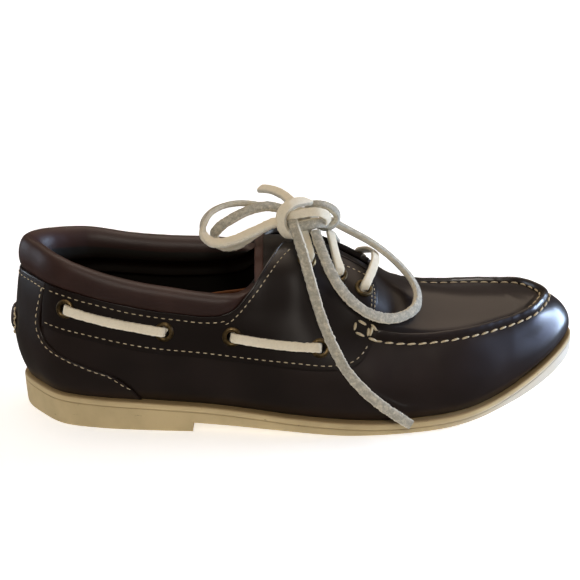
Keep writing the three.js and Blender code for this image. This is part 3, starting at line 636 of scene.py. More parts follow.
# ---- Finishes ----
class Wire:
    """A socket that stands in a sum: each operator adds the node that works it out."""

    def __init__(self, finish, socket):
        self.finish = finish
        self.socket = socket

    def sum(self, operation, other, other_first=False):
        first, second = (other, self) if other_first else (self, other)
        inputs = {0: first, 1: second}
        return self.finish.node("ShaderNodeMath", {"operation": operation}, inputs)

    def __add__(self, other):
        return self.sum("ADD", other)

    def __sub__(self, other):
        return self.sum("SUBTRACT", other)

    def __rsub__(self, other):
        return self.sum("SUBTRACT", other, other_first=True)

    def __mul__(self, other):
        return self.sum("MULTIPLY", other)

    __radd__ = __add__
    __rmul__ = __mul__


class Finish:
    """A material, built from its nodes."""

    def __init__(self, name):
        self.material = bpy.data.materials.new(name)
        self.material.use_nodes = True
        self.tree = self.material.node_tree
        self.tree.nodes.clear()

    def node(self, kind, settings=None, inputs=None, output=0):
        made = self.tree.nodes.new(kind)
        for name, value in (settings or {}).items():
            setattr(made, name, value)
        for key, value in (inputs or {}).items():
            if isinstance(value, Wire):
                self.tree.links.new(value.socket, made.inputs[key])
            else:
                made.inputs[key].default_value = value
        return Wire(self, made.outputs[output])

    def noise(self, place, scale, detail=2.0, roughness=0.5):
        inputs = {"Vector": place, "Scale": scale, "Detail": detail, "Roughness": roughness}
        return self.node("ShaderNodeTexNoise", None, inputs)

    def stretched(self, place, scale):
        return self.node("ShaderNodeMapping", None, {"Vector": place, "Scale": scale})

    def between(self, value, low, high, to_low=0.0, to_high=1.0):
        inputs = {"Value": value, 1: low, 2: high, 3: to_low, 4: to_high}
        return self.node("ShaderNodeMapRange", {"interpolation_type": "SMOOTHSTEP"}, inputs)

    def blend(self, share, a, b):
        a = a if isinstance(a, Wire) else (*a, 1)
        b = b if isinstance(b, Wire) else (*b, 1)
        return self.node("ShaderNodeMix", {"data_type": "RGBA"}, {0: share, 6: a, 7: b}, output=2)

    def bump(self, height, distance, strength=1.0, normal=None):
        inputs = {"Height": height, "Distance": distance, "Strength": strength}
        if normal:
            inputs["Normal"] = normal
        return self.node("ShaderNodeBump", None, inputs)

    def surface(self, **inputs):
        """Ends the material in one shader, whose sockets are named with spaces for underscores."""
        names = {name.replace("_", " "): value for name, value in inputs.items()}
        shader = self.node("ShaderNodeBsdfPrincipled", None, names)
        end = self.tree.nodes.new("ShaderNodeOutputMaterial")
        self.tree.links.new(shader.socket, end.inputs["Surface"])
        return self.material

    def place(self):
        return self.node("ShaderNodeTexCoord", output="Object")

    def uv(self, axis):
        where = self.node("ShaderNodeTexCoord", output="UV")
        return self.node("ShaderNodeSeparateXYZ", None, {"Vector": where}, output=axis)


def shade(colour, factor):
    return tuple(part * factor for part in colour)


def leather_finish(name, colour, light, roughness, pore=0.00004, coat=0.0):
    """Polished leather: cloudy colour, fine pores and a soft unevenness under the shine."""
    finish = Finish(name)
    place = finish.place()
    cloud = finish.noise(place, 22, 2.0, 0.5)
    tone = finish.blend(finish.between(cloud, 0.3, 0.75), colour, light)
    pores = finish.node("ShaderNodeTexVoronoi", None, {"Vector": place, "Scale": 1500.0})
    grain = finish.noise(place, 420, 2.0)
    wave = finish.noise(place, 48, 1.0)
    fine = finish.bump(finish.between(pores, 0.0, 0.35) + grain * 0.8, pore, 0.35)
    soft = finish.bump(wave, 0.0005, 0.3, fine)
    rough = finish.between(cloud, 0.25, 0.8, roughness - 0.02, roughness + 0.05)
    return finish.surface(
        Base_Color=tone, Roughness=rough, Normal=soft, Coat_Weight=coat, Coat_Roughness=0.19
    )


def collar_finish(colour, lining):
    """Soft satin leather round the roll, dark lining on the band below it inside the shoe."""
    finish = Finish("collar leather")
    place = finish.place()
    around = finish.uv(0)
    cloud = finish.noise(place, 30, 3.0)
    tone = finish.blend(finish.between(cloud, 0.3, 0.75), shade(colour, 0.8), shade(colour, 1.25))
    inside = finish.between(around, 0.455, 0.475) * (1 - finish.between(around, 0.955, 0.975))
    tone = finish.blend(inside, tone, lining)
    creases = finish.noise(finish.stretched(place, (1, 2.5, 2.5)), 120)
    fine = finish.bump(finish.noise(place, 700, 2.0) + creases * 0.6, 0.00006, 0.4)
    rough = finish.between(inside, 0, 1, 0.48, 0.6)
    return finish.surface(Base_Color=tone, Roughness=rough, Normal=fine)


def lining_finish(name, colour):
    finish = Finish(name)
    place = finish.place()
    tone = finish.blend(finish.noise(place, 60, 4.0), shade(colour, 0.6), colour)
    nap = finish.bump(finish.noise(place, 900, 3.0), 0.0001, 0.5)
    return finish.surface(Base_Color=tone, Roughness=0.8, Normal=nap, Specular_IOR_Level=0.2)


def rubber_finish(rubber, ledge, scuffed):
    """Moulded rubber: pale side, a tan ledge and top edge, paler scuffed toe, a few dark specks, and
    painted shade in the groove.
    """
    finish = Finish("moulded rubber")
    place = finish.place()
    down = finish.uv(1)
    along = finish.node("ShaderNodeSeparateXYZ", None, {"Vector": place})
    cloud = finish.noise(place, 45, 4.0)
    side = finish.blend(finish.between(cloud, 0.3, 0.75), rubber, shade(rubber, 0.8))
    toe = finish.between(along, 0.06, 0.13) * finish.between(down, 0.16, 0.34)
    side = finish.blend(toe * (0.45 + cloud * 0.5), side, scuffed)
    on_ledge = 1 - finish.between(down + cloud * 0.03, 0.05, 0.1)
    tone = finish.blend(on_ledge * 0.85, side, ledge)
    # painted shade: the band of the moulded groove is darkened towards dark brown, standing in for
    # the shade inside the groove
    groove = finish.between(down, 0.3, 0.325) * (1 - finish.between(down, 0.365, 0.39))
    tone = finish.blend(groove * 0.35, tone, shade(ledge, 0.6))
    specks = finish.noise(finish.stretched(place, (1, 1, 3)), 240, 2.0, 0.7)
    tone = finish.blend(finish.between(specks, 0.7, 0.76) * 0.55, tone, shade(ledge, 0.25))
    fine = finish.noise(place, 1300, 2.0)
    dent = finish.bump(fine + specks * 0.8, 0.00015, 0.4)
    rough = finish.between(cloud, 0.3, 0.7, 0.5, 0.66)
    return finish.surface(Base_Color=tone, Roughness=rough, Normal=dent, Specular_IOR_Level=0.35)


def rawhide_finish(name, face, edge, mottle, back=None):
    """Rawhide lace: speckled broad faces, rough cut edges, and a smooth back if it has a colour."""
    finish = Finish(name)
    place = finish.place()
    round_it = finish.uv(0)
    turned = finish.node("ShaderNodeMath", {"operation": "COSINE"}, {0: round_it * (4 * math.pi)})
    cut_edge = finish.between(turned, 0.15, 0.75)
    cloud = finish.noise(place, 420, 5.0, 0.75)
    spots = finish.noise(place, 1100, 4.0, 0.75)
    tone = finish.blend(finish.between(cloud, 0.42, 0.66) * mottle, face, edge)
    tone = finish.blend(finish.between(spots, 0.5, 0.64) * mottle * 0.8, tone, shade(face, 0.6))
    if back:
        smooth = finish.blend(finish.between(cloud, 0.42, 0.66) * 0.2, back, shade(back, 0.7))
        tone = finish.blend(finish.between(round_it, 0.499, 0.501), tone, smooth)
    fibres = finish.blend(spots, shade(edge, 0.5), shade(edge, 1.25))
    tone = finish.blend(cut_edge * 0.75, tone, fibres)
    nap = finish.noise(place, 2300, 3.0, 0.7)
    rough = finish.bump(nap * (0.35 + cut_edge) + spots * 0.6, 0.00022, 0.7)
    return finish.surface(
        Base_Color=tone, Roughness=0.85, Normal=rough, Specular_IOR_Level=0.25, Sheen_Weight=0.15
    )


def thread_finish(colour):
    finish = Finish("waxed thread")
    twist = finish.noise(finish.place(), 1500, 2.0)
    tone = finish.blend(twist, shade(colour, 0.7), colour)
    bump = finish.bump(twist, 0.0002, 0.6)
    return finish.surface(Base_Color=tone, Roughness=0.55, Normal=bump)


def brass_finish(colour):
    finish = Finish("antique brass")
    place = finish.place()
    worn = finish.noise(place, 260, 4.0, 0.65)
    tone = finish.blend(finish.between(worn, 0.4, 0.62), shade(colour, 0.35), colour)
    rough = finish.between(worn, 0.35, 0.7, 0.55, 0.32)
    dent = finish.bump(worn, 0.0001, 0.3)
    return finish.surface(Base_Color=tone, Metallic=0.9, Roughness=rough, Normal=dent)


def floor_finish(colour):
    """White floor that glows, more so farther off, where the lamps don't reach."""
    finish = Finish("pale floor")
    length = {"operation": "LENGTH"}
    away = finish.node("ShaderNodeVectorMath", length, {0: finish.place()}, output=1)
    glow = finish.blend(finish.between(away, 0.4, 1.5), shade(colour, 0.62), shade(colour, 1.15))
    return finish.surface(
        Base_Color=(*colour, 1),
        Roughness=0.9,
        Specular_IOR_Level=0.1,
        Emission_Color=glow,
        Emission_Strength=1,
    )


@lru_cache(maxsize=1)
def finishes():
    """Every material of the shoe, made once from the colours in the panel."""
    tint = bpy.context.scene.shoe_colours
    dark, shaded_leather = shade(tint.leather, 0.85), shade(tint.leather, 0.8)
    pale, edge = shade(tint.binding, 1.3), shade(tint.rawhide, 0.7)
    return SimpleNamespace(
        wall=leather_finish("polished leather", tint.leather, tint.leather_light, 0.38, coat=0.5),
        panel=leather_finish("panel leather", dark, tint.leather, 0.33, coat=0.4),
        # painted shade: the tongue is a darker copy of the polished leather, for the shade it lies
        # in under the facings and laces
        tongue=leather_finish("tongue leather", shaded_leather, tint.leather, 0.55),
        collar=collar_finish(tint.collar, tint.lining),
        binding=leather_finish("binding leather", tint.binding, pale, 0.5, 0.00006),
        lining=lining_finish("dark lining", tint.lining),
        sock=lining_finish("tan lining", tint.sock),
        rubber=rubber_finish(tint.rubber, tint.ledge, tint.scuffed),
        thread=thread_finish(tint.thread),
        brass=brass_finish(tint.brass),
        lace=rawhide_finish("rawhide lace", tint.rawhide, edge, 0.2),
        suede=rawhide_finish("rawhide lace, rough side", tint.suede, tint.rawhide, 0.55),
        turned=rawhide_finish(
            "rawhide lace, both sides", tint.suede, tint.rawhide, 0.55, back=tint.rawhide
        ),
        floor=floor_finish(tint.floor),
    )


def length_value(name, description, default):
    return FloatProperty(
        name=name, description=description, default=default * MM, min=0, unit="LENGTH"
    )


def colour_value(name, description, default):
    return FloatVectorProperty(
        name=name, description=description, default=default, size=3, min=0, max=1, subtype="COLOR"
    )


class ShoeSizes(PropertyGroup):
    """Sizes that a user would change."""

    panel: length_value("Panel leather", "Thickness of the side panels over the wall", 0.9)
    counter: length_value("Counter leather", "Thickness of the heel counter over the wall", 1.5)
    seam: length_value("Seam height", "Height of the raised seam round the toe", 3.1)
    seam_pitch: length_value("Seam stitches", "From one hand stitch to the next", 5.7)
    stitch_pitch: length_value("Stitches", "From one machine stitch to the next", 3.7)
    thread: length_value("Thread", "Radius of the machine thread", 0.25)
    hand_thread: length_value("Hand thread", "Radius of the hand-sewn thread", 0.55)
    lace_width: length_value("Lace width", "Its width where it is pulled tight", 4.8)
    lace_thick: length_value("Lace thickness", "Its thickness where it is pulled tight", 2.2)
    bow_width: length_value("Bow width", "Width of the lace in the loose bow", 5.2)
    bow_thick: length_value("Bow thickness", "Thickness of the lace in the loose bow", 3.1)
    groove: length_value("Sole groove", "Depth of the line moulded round the sole", 0.18)


class ShoeColours(PropertyGroup):
    """Colours that a user would change."""

    leather: colour_value("Leather", "Polished leather", (0.0095, 0.0047, 0.0035))
    leather_light: colour_value("Light leather", "Where the polish is thin", (0.019, 0.0092, 0.007))
    collar: colour_value("Collar", "Softer leather of the collar", (0.04, 0.0155, 0.011))
    binding: colour_value("Binding", "Edge binding and tongue edge", (0.062, 0.025, 0.018))
    lining: colour_value("Lining", "Lining of the quarters", (0.0085, 0.0068, 0.0042))
    sock: colour_value("Sock", "Insole and tongue lining", (0.2, 0.075, 0.028))
    rubber: colour_value("Rubber", "Side of the sole", (0.62, 0.485, 0.26))
    ledge: colour_value("Ledge", "Top edge of the sole", (0.42, 0.29, 0.14))
    scuffed: colour_value("Scuffed rubber", "Side of the sole at the toe", (0.74, 0.72, 0.65))
    thread: colour_value("Thread", "Cream thread", (0.7, 0.58, 0.37))
    brass: colour_value("Brass", "Eyelets", (0.22, 0.155, 0.072))
    rawhide: colour_value("Rawhide", "Smooth side of the lace", (0.82, 0.745, 0.575))
    suede: colour_value("Suede", "Rough side of the lace", (0.38, 0.36, 0.295))
    floor: colour_value("Floor", "Pale floor", (0.9, 0.9, 0.9))


def sizes():
    """The panel's sizes, in millimetres."""
    kept = bpy.context.scene.shoe_sizes
    return SimpleNamespace(**{name: getattr(kept, name) / MM for name in ShoeSizes.__annotations__})


class ShoeOperator(Operator):
    """What the shoe's pieces share."""

    bl_options = {"UNDO"}

    def execute(self, context):
        self.make(sizes(), finishes())
        return {"FINISHED"}


CAMERA_ANGLES = (0.3, 21, -1.8)  # round the shoe, above it, and rolled, in degrees
CAMERA_AIM = (146.7, 16.3, 53.5)
CAMERA_DISTANCE = 0.557  # in metres
CAMERA_SENSOR, CAMERA_LENS = 36, 62.565517


class SHOE_OT_camera(Operator):
    """Camera near the shoe's outer side, a little above it"""

    bl_idname = "shoe.camera"
    bl_label = "Camera"

    def execute(self, context):
        turn, rise, roll = (math.radians(angle) for angle in CAMERA_ANGLES)
        back = Vector(
            (math.sin(turn) * math.cos(rise), -math.cos(turn) * math.cos(rise), math.sin(rise))
        )
        right = Vector((0, 0, 1)).cross(back).normalized()
        up = back.cross(right)
        level_right = right * math.cos(roll) + up * math.sin(roll)
        level_up = up * math.cos(roll) - right * math.sin(roll)
        data = bpy.data.cameras.new("camera")
        data.sensor_width = CAMERA_SENSOR
        data.lens = CAMERA_LENS
        data.clip_start = 0.01
        camera = bpy.data.objects.new("camera", data)
        context.scene.collection.objects.link(camera)
        place = row(CAMERA_AIM) + back * CAMERA_DISTANCE
        axes = Matrix((level_right, level_up, back)).transposed().to_4x4()
        camera.matrix_world = Matrix.Translation(place) @ axes
        context.scene.camera = camera
        return {"FINISHED"}


def loop_faces(points, away=(0.8, 0.1), flat=(0.62, -1)):
    """Directions of a lace's face round a loop, away from its middle and out of its plane."""
    points = [Vector(point) for point in points]
    middle = sum(points, Vector()) / len(points)
    turns = ((a - middle).cross(b - middle) for a, b in zip(points, points[1:]))
    plane = sum(turns, Vector()).normalized()
    if plane.y > 0:
        plane = -plane
    faces = []
    for i, point in enumerate(points):
        share = soft_step(0.42, 0.62, i / (len(points) - 1))
        faces.append((point - middle).normalized() * mix(*away, share) + plane * mix(*flat, share))
    return faces


class SHOE_OT_free_lace(ShoeOperator):
    """Loops and loose ends of the bow, as flat rawhide lace"""

    bl_idname = "shoe.free_lace"
    bl_label = "Bow"

    def make(self, size, finish):
        width, thick = size.bow_width, size.bow_thick
        falling = [(-0.3 + 0.02 * i, -0.9, 0.2 + 0.03 * i) for i in range(11)]
        front = loop_faces(ROUTES["front_loop"], (0.4, 0.4), (0.92, 0.92))
        rear = loop_faces(even_path(ROUTES["rear_loop"], 0.7))
        inner = loop_faces(even_path(ROUTES["rear_loop_inner"], 0.7))
        # name, the solid that it stands for, its far end, its finish, the way that it faces
        laces = (
            ("front_loop", ("lace_loop_front",), "object", finish.suede, front),
            ("rear_loop", ("lace_loop_rear",), "object", finish.turned, rear),
            ("rear_loop_inner", (), "object", finish.turned, inner),
            ("front_end", ("lace_end_front",), "bare", finish.suede, falling),
            ("rear_end", ("lace_end_rear",), "bare", finish.turned, [(-0.1, 0.75, -0.6)] * 5),
        )
        for name, solids, far_end, look, faces in laces:
            points = ROUTES[name]
            piece = ribbon(name, points, faces, width, thick, look, solids, rough=0.4, step=0.7)
            path = [row(point) for point in even_path(points, 1.5)]
            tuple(path[0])
            path_length(path)


KNOT_CORE = (7.4, 6.6, 4.6)  # half its length, width and height
# Turns of the knot: route, the middle that they face away from, tilt, share of the width, and
# whether the lace's smooth side shows.
KNOT_TURNS = {
    "turn_tall": (
        (
            (158.5, 2, 107.5), (156.5, -5, 110), (151.5, -10, 111), (147.4, -13.5, 110.3),
            (144.4, -15.3, 107.4), (143.4, -16, 103.3), (144.4, -15.8, 99), (147, -14.2, 95.2),
            (150.5, -9, 92.8), (155, -1, 92.8), (159.5, 4, 96),
        ),
        (153, -5, 101.5),
        (-0.15, -0.4, 0.1),
        1.12,
        True,
    ),
    "turn_over": (
        (
            (145.5, -7.5, 102.5), (147.6, -12.6, 104.6), (151, -15.6, 106.4), (155, -17, 107.6),
            (159.2, -17.3, 108), (163.1, -16.5, 107.3), (166, -14, 105.2), (167, -10.5, 101.8),
            (165.5, -7, 98.4), (160, -4, 96.4),
        ),
        (156, -4, 102),
        (0, -0.5, 0),
        0.9,
        True,
    ),
    "turn_back": (
        (
            (156.5, -1.5, 105.5), (160.5, -3, 107.6), (165, -2.6, 107.2), (169.4, -1.6, 105),
            (172.3, -0.5, 101.3), (171.9, 0, 97.2), (168, -1.5, 94.8), (162.5, -2.5, 95.6),
        ),
        (164, -1, 101),
        (0, -0.5, 0.1),
        0.85,
        False,
    ),
    "turn_under": (
        (
            (146, -8.5, 98), (150, -12.8, 99), (155, -14.4, 100.2), (160, -13.8, 100.8),
            (164.5, -10.5, 100.4), (166.5, -5.5, 98.3),
        ),
        (156, -4, 101),
        (0, -0.6, 0),
        1.05,
        False,
    ),
}


class SHOE_OT_knot(ShoeOperator):
    """Turns of the lace in the knot of the bow"""

    bl_idname = "shoe.knot"
    bl_label = "Knot"

    def make(self, size, finish):
        width, thick = size.bow_width, size.bow_thick
        core = bmesh.new()
        bmesh.ops.create_icosphere(core, subdivisions=4, radius=1)
        for vert in core.verts:
            lump = 1 + 0.1 * noise.noise(vert.co * 2.2)
            vert.co = row(Vector(KNOT) + vert.co * Vector(KNOT_CORE) * lump)
        finish_piece("knot_core", core, finish.suede, ("lace_knot",))
        for name, (points, middle, tilt, wider, smooth) in KNOT_TURNS.items():
            faces = [(Vector(spot) - Vector(middle)).normalized() + Vector(tilt) for spot in points]
            look = finish.lace if smooth else finish.suede
            ribbon(f"knot_{name}", points, faces, width * wider, thick, look, rough=0.35)


LACE_RISE = 3.0  # from the leather to the middle of a lace that lies on an eyelet
# How far past an eyelet, and how high over the leather.
SIDE_LACE_LIFTS = (
    (0, -1.6), (0.1, 0.6), (0.7, LACE_RISE - 0.8), (2, LACE_RISE), (7, LACE_RISE - 0.1), (12, 2.4),
)
# How high over the leather, and how far towards the other side.
THROAT_LACE_LIFTS = ((-1.6, 0), (0.6, 0), (LACE_RISE - 0.8, 0.5), (LACE_RISE + 0.3, 1.8))
# The eyelets that a throat bar joins, how far it leans forwards, and how high it arches.
THROAT_BARS = ((2, -3.5, 1.0), (3, 6.5, 4.5))
KNOT_LEG_END = (1.5, 9.5, 3.2)  # behind, beside and below the knot's middle


class SHOE_OT_side_lace(ShoeOperator):
    """Bars of the lace that show between the side eyelets"""

    bl_idname = "shoe.side_lace"
    bl_label = "Side lace"

    def make(self, size, finish):
        width, thick = size.lace_width, size.lace_thick
        for side in SIDES:
            spots = EYELETS[f"side_eyelet_{side}"]
            for number, (start, end) in enumerate((spots[0:2], spots[2:4]), 1):
                span = end[0] - start[0]
                plan = [(start[0] + move, lift) for move, lift in SIDE_LACE_LIFTS]
                plan.append((start[0] + span / 2, 2.2))
                plan += [(end[0] - move, lift) for move, lift in reversed(SIDE_LACE_LIFTS)]
                points, faces = [], []
                for x, lift in plan:
                    turn = turn_at(side, x)
                    droop = 0.8 * math.sin(math.pi * clamp((x - start[0]) / span))
                    z = mix(start[1], end[1], (x - start[0]) / span) - droop
                    level = level_at_height(turn, z)
                    points.append(skin(turn, level, lift))
                    faces.append(skin_normal(turn, level))
                name = f"side_lace_{side}_{number}"
                ribbon(f"{name}_bar", points, faces, width, thick, finish.lace, (name,), rough=0.25)


class SHOE_OT_throat_lace(ShoeOperator):
    """Bars of the lace across the throat, and its legs up to the knot"""

    bl_idname = "shoe.throat_lace"
    bl_label = "Throat lace"

    def make(self, size, finish):
        width, thick = size.lace_width, size.lace_thick
        spots = {name: (middle, normal) for name, middle, normal in eyelet_places()}

        def leg(side, number):
            middle, normal = spots[f"facing_eyelet_{side}_{number}"]
            inner = Vector((0, 1 if side == "lateral" else -1, 0))
            inner = (inner - normal * inner.dot(normal)).normalized()
            stops = [middle + normal * lift + inner * move for lift, move in THROAT_LACE_LIFTS]
            return stops, [normal] * len(stops)

        for number, lean, arch in THROAT_BARS:
            start, start_faces = leg("lateral", number)
            end, end_faces = leg("medial", number)
            end.reverse()
            middle, faces = [], []
            for k in range(1, 8):
                bow = math.sin(math.pi * k / 8)
                x = mix(start[3].x, end[0].x, k / 8) + lean * bow
                y = mix(start[3].y, end[0].y, k / 8)
                side = "lateral" if y < spine_y(x) else "medial"
                turn = turn_at(side, x)
                place = station(turn)
                level = level_at_reach(turn, abs(y - place.spine[1]))
                z = section(place, level)[1] + LACE_RISE + 0.4 + arch * bow
                middle.append(Vector((x, y, z)))
                faces.append(skin_normal(turn, level))
            points = start + middle + end
            faces = start_faces + faces + end_faces
            name = f"throat_lace_{number - 1}"
            ribbon(f"{name}_bar", points, faces, width, thick, finish.lace, (name,), rough=0.25)
        for side in SIDES:
            to_knot = 1 if side == "lateral" else -1
            points, faces = leg(side, 1)
            back, across, down = KNOT_LEG_END
            top = Vector((KNOT[0] - back, KNOT[1] - to_knot * across, KNOT[2] - down))
            normal = spots[f"facing_eyelet_{side}_1"][1]
            points += [points[3].lerp(top, 0.5) + normal * 0.8, top]
            faces += [normal, normal + Vector((0, -to_knot * 0.6, 0))]
            name, wide = f"knot_leg_{side}", width * 1.15
            ribbon(f"{name}_strap", points, faces, wide, thick, finish.lace, (name,), rough=0.25)


# How far inside the sole's edge, None at the spine, and how far below its top edge.
SOLE_TOP_EDGE = (
    (None, 0), (12, 0), (6, 0), (3, 0), (1.3, 0), (0.6, 0.12), (0.2, 0.45), (0, 1), (-0.1, 2),
    (-0.1, 2.9), (0, 3.05),
)
SOLE_WALL = ((0, 3.65), (-0.1, 3.8), (-0.15, 4.4))
# The same, and how far above its underside.
SOLE_LOW_EDGE = (
    (-0.1, 2.6), (0.05, 1.6), (0.35, 0.9), (0.9, 0.35), (1.8, 0.05), (3, 0), (9, 0), (16, 0),
    (None, 0),
)
HEEL_BREAST = 0.35  # half the length over which the heel's front drops


class SHOE_OT_sole(ShoeOperator):
    """Moulded rubber sole with its low heel, ledge and groove"""

    bl_idname = "shoe.sole"
    bl_label = "Sole"

    def make(self, size, finish):
        breast = [turn_of(HEEL_LENGTH + side * HEEL_BREAST) for side in (-1, 1)]
        turns = all_round(0, *breast, math.pi, step=0.018)
        groove = ((size.groove, 3.2), (size.groove, 3.5))
        top = SOLE_TOP_EDGE + groove + SOLE_WALL
        last = len(top) + len(SOLE_LOW_EDGE) - 1
        columns = len(turns) - 1

        def place(a, b):
            turn = turns[round(a * columns)]
            spot = station(turn)
            level = round(b * last)
            under = level >= len(top)
            inset, step = SOLE_LOW_EDGE[level - len(top)] if under else top[level]
            r = 0 if inset is None else spot.reach - inset
            x = spot.spine[0] + spot.out[0] * r
            return off_spine(spot, r, sole_bottom(x) + step if under else sole_top(x) - step)

        bm = mapped_grid(columns, last, place, closed=True)
        uv = bm.loops.layers.uv.verify()
        for face in bm.faces:
            for loop in face.loops:
                x = loop.vert.co.x / MM - SHIFT.x
                loop[uv].uv = (x / 10, (sole_top(x) - loop.vert.co.z / MM) / 10)
        finish_piece("sole", bm, finish.rubber, ("outsole",), sharp=50)


class SHOE_OT_insole(ShoeOperator):
    """Insole inside the upper"""

    bl_idname = "shoe.insole"
    bl_label = "Insole"

    def make(self, size, finish):
        inset = LEDGE + WALL + 0.9

        def place(a, b):
            spot = station(mix(-math.pi, math.pi, a))
            r = (spot.reach - inset) * b
            cup = 1.2 * soft_step(0.7, 1, b) * soft_step(120, 60, spot.spine[0] + spot.out[0] * r)
            z = mix(sole_top(spot.spine[0]), sole_top(spot.x), b) + 2.8 + cup
            return off_spine(spot, r, z)

        bm = mapped_grid(160, 12, place, closed=True)
        finish_skin("sock", bm, finish.sock, 2.2, replaces=("insole",), sharp=40)


CREASES_FROM, CREASES_TO = 165, 245
# Soft troughs across the flex line: side, x and height at both ends, width, depth.
CREASES = (
    ("lateral", (193, 39), (197, 26), 1.3, 0.26),
    ("lateral", (196.5, 38), (201, 24), 1.6, 0.3),
    ("lateral", (201, 37), (205, 25), 1.4, 0.22),
    ("lateral", (206, 37), (211, 24), 2.2, 0.16),
    ("lateral", (214, 38), (220, 26), 3.6, 0.16),
    ("lateral", (181, 32), (186, 20), 3.0, 0.2),
    ("medial", (196, 43), (199, 24), 3.2, 0.5),
    ("medial", (205, 42), (210, 25), 3.6, 0.45),
    ("medial", (218, 42), (224, 26), 4.4, 0.45),
)
# Soft troughs over the toe's top: x and y at both ends, width, depth.
TOP_CREASES = (
    ((197, -24), (194, 2), 2.2, 0.35),
    ((202, -27), (199, -6), 2.8, 0.3),
    ((199, 6), (203, 26), 3.0, 0.3),
    ((212, -26), (208, 0), 4.0, 0.35),
    ((214, 4), (218, 28), 4.0, 0.35),
)


def trough(spot, start, end, width, depth):
    """How deep a point lies in a soft trough between two places, with a low ridge either side."""
    along_x, along_y = end[0] - start[0], end[1] - start[1]
    size = math.hypot(along_x, along_y)
    dx, dy = spot[0] - start[0], spot[1] - start[1]
    share = (dx * along_x + dy * along_y) / size**2
    if not -0.35 < share < 1.35:
        return 0.0
    across = (dx * along_y - dy * along_x) / size / width
    across += 0.25 * math.sin(share * 5)
    fade = soft_step(-0.35, 0.25, share) * soft_step(1.35, 0.75, share)
    ridge = 0.45 * math.exp(-((abs(across) - 1.7) ** 2) * 1.5)
    return -depth * fade * (math.exp(-across * across) - ridge)


def leather_rise(turn, level):
    """Unevenness of the worn leather: creases where the toes bend, a little softness all over."""
    spot = station(turn)
    point = skin(turn, level)
    rise = 0.0
    if CREASES_FROM < spot.x < CREASES_TO:
        for side, start, end, width, depth in CREASES:
            if side == spot.side and level < 4.05:
                rise += trough((point.x, point.z), start, end, width, depth)
        for start, end, width, depth in TOP_CREASES:
            if level > 4.3:
                rise += trough((point.x, point.y), start, end, width, depth)
    if spot.x > SEAM_START and 4 < level < 5:
        inside = (level - 4) * spot.spans[4]
        valley = soft_step(2.5, 4.2, inside) * soft_step(8.5, 5, inside)
        rise -= SEAM_VALLEY * valley * soft_step(SEAM_START, SEAM_START + 5, spot.x)
    rise += 0.22 * noise.noise(point * 0.035) + 0.08 * noise.noise(point * 0.11)
    return rise * soft_step(0, 1.2, level)


class SHOE_OT_wall(ShoeOperator):
    """Leather skin round the last, plug included, with its lining"""

    bl_idname = "shoe.wall"
    bl_label = "Upper"

    def make(self, size, finish):
        front = turn_of(THROAT_FRONT)
        turns = all_round(0, turn_of(THROAT[0][0]), front - 0.002, front + 0.002, math.pi)
        columns = len(turns) - 1
        levels = [4 * (k / 44) for k in range(45)] + [4 + 2 * (k / 34) for k in range(1, 35)]

        def place(a, b):
            turn = turns[round(a * columns)]
            level = min(levels[round(b * (len(levels) - 1))], open_level(turn))
            return skin(turn, level, leather_rise(turn, level))

        bm = mapped_grid(columns, len(levels) - 1, place, closed=True)
        finish_skin("upper_skin", bm, finish.wall, 1.3, 0, ("upper",), eyelets=True)

        def inside(a, b):
            turn = turns[round(a * columns)]
            level = min(mix(0.1, 6, b), open_level(turn) - 0.02)
            return skin(turn, level, -1.5)

        bm = mapped_grid(columns, 40, inside, closed=True)
        finish_skin("quarter_lining", bm, finish.lining, 0.5)


# Side panel, x and height: lower edge from the heel forwards and up the front of the saddle.
PANEL_LOW = {
    "lateral": (
        (19, 55.2), (44, 51.1), (73, 45.4), (101.5, 42.5), (131, 39), (159, 36), (172, 35.8),
        (179.5, 37.8), (184.6, 41.8), (187.6, 46.5), (189.6, 52.5), (191, 58),
    ),
    "medial": (
        (19, 56.8), (44, 54.5), (73, 50), (101.5, 47), (131, 43), (159, 39.5), (172, 39),
        (179.5, 40.5), (184.6, 45), (187.6, 49.5), (189.6, 55), (191, 60),
    ),
}
PANEL_LOW_AT = {side: column(rows, 1) for side, rows in PANEL_LOW.items()}
PANEL_BACK = 19.5
PANEL_TIP = 191.9  # the panel's foremost place
# x up to which the panel's columns have a step, finer where its edge bends
PANEL_STEPS = ((139.5, 0.013), (147, 0.005), (176, 0.013), (PANEL_TIP, 0.0035))
PANEL_TIP_LEVEL = 5.27
# Heel counter, height and x of its front edge.
COUNTER_EDGE = (
    (12, 73.5), (18, 68.8), (26, 63.3), (31.6, 56), (35, 45.6), (38.9, 35.2), (43, 27.3),
    (46, 22.9), (51, 19.2), (57.4, 17.9), (66.8, 19.1), (80, 21.4),
)
COUNTER_LOW = 0.06  # the level of its lower edge, just over the sole
counter_edge = column(COUNTER_EDGE, 1)


def panel_levels(side, x):
    """Lower and upper level of a side panel at a place along the shoe."""
    turn = turn_at(side, x)
    low = level_at_height(turn, PANEL_LOW_AT[side](min(x, 191)))
    low = mix(low, PANEL_TIP_LEVEL - 0.02, soft_step(190.2, PANEL_TIP, x))
    high = open_level(turn_at(side, min(x, THROAT_FRONT - 0.01)))
    share = clamp((x - THROAT_FRONT) / (PANEL_TIP - THROAT_FRONT)) ** 1.5
    high = mix(high, PANEL_TIP_LEVEL + 0.02, share)
    return low, max(high, low + 0.02)


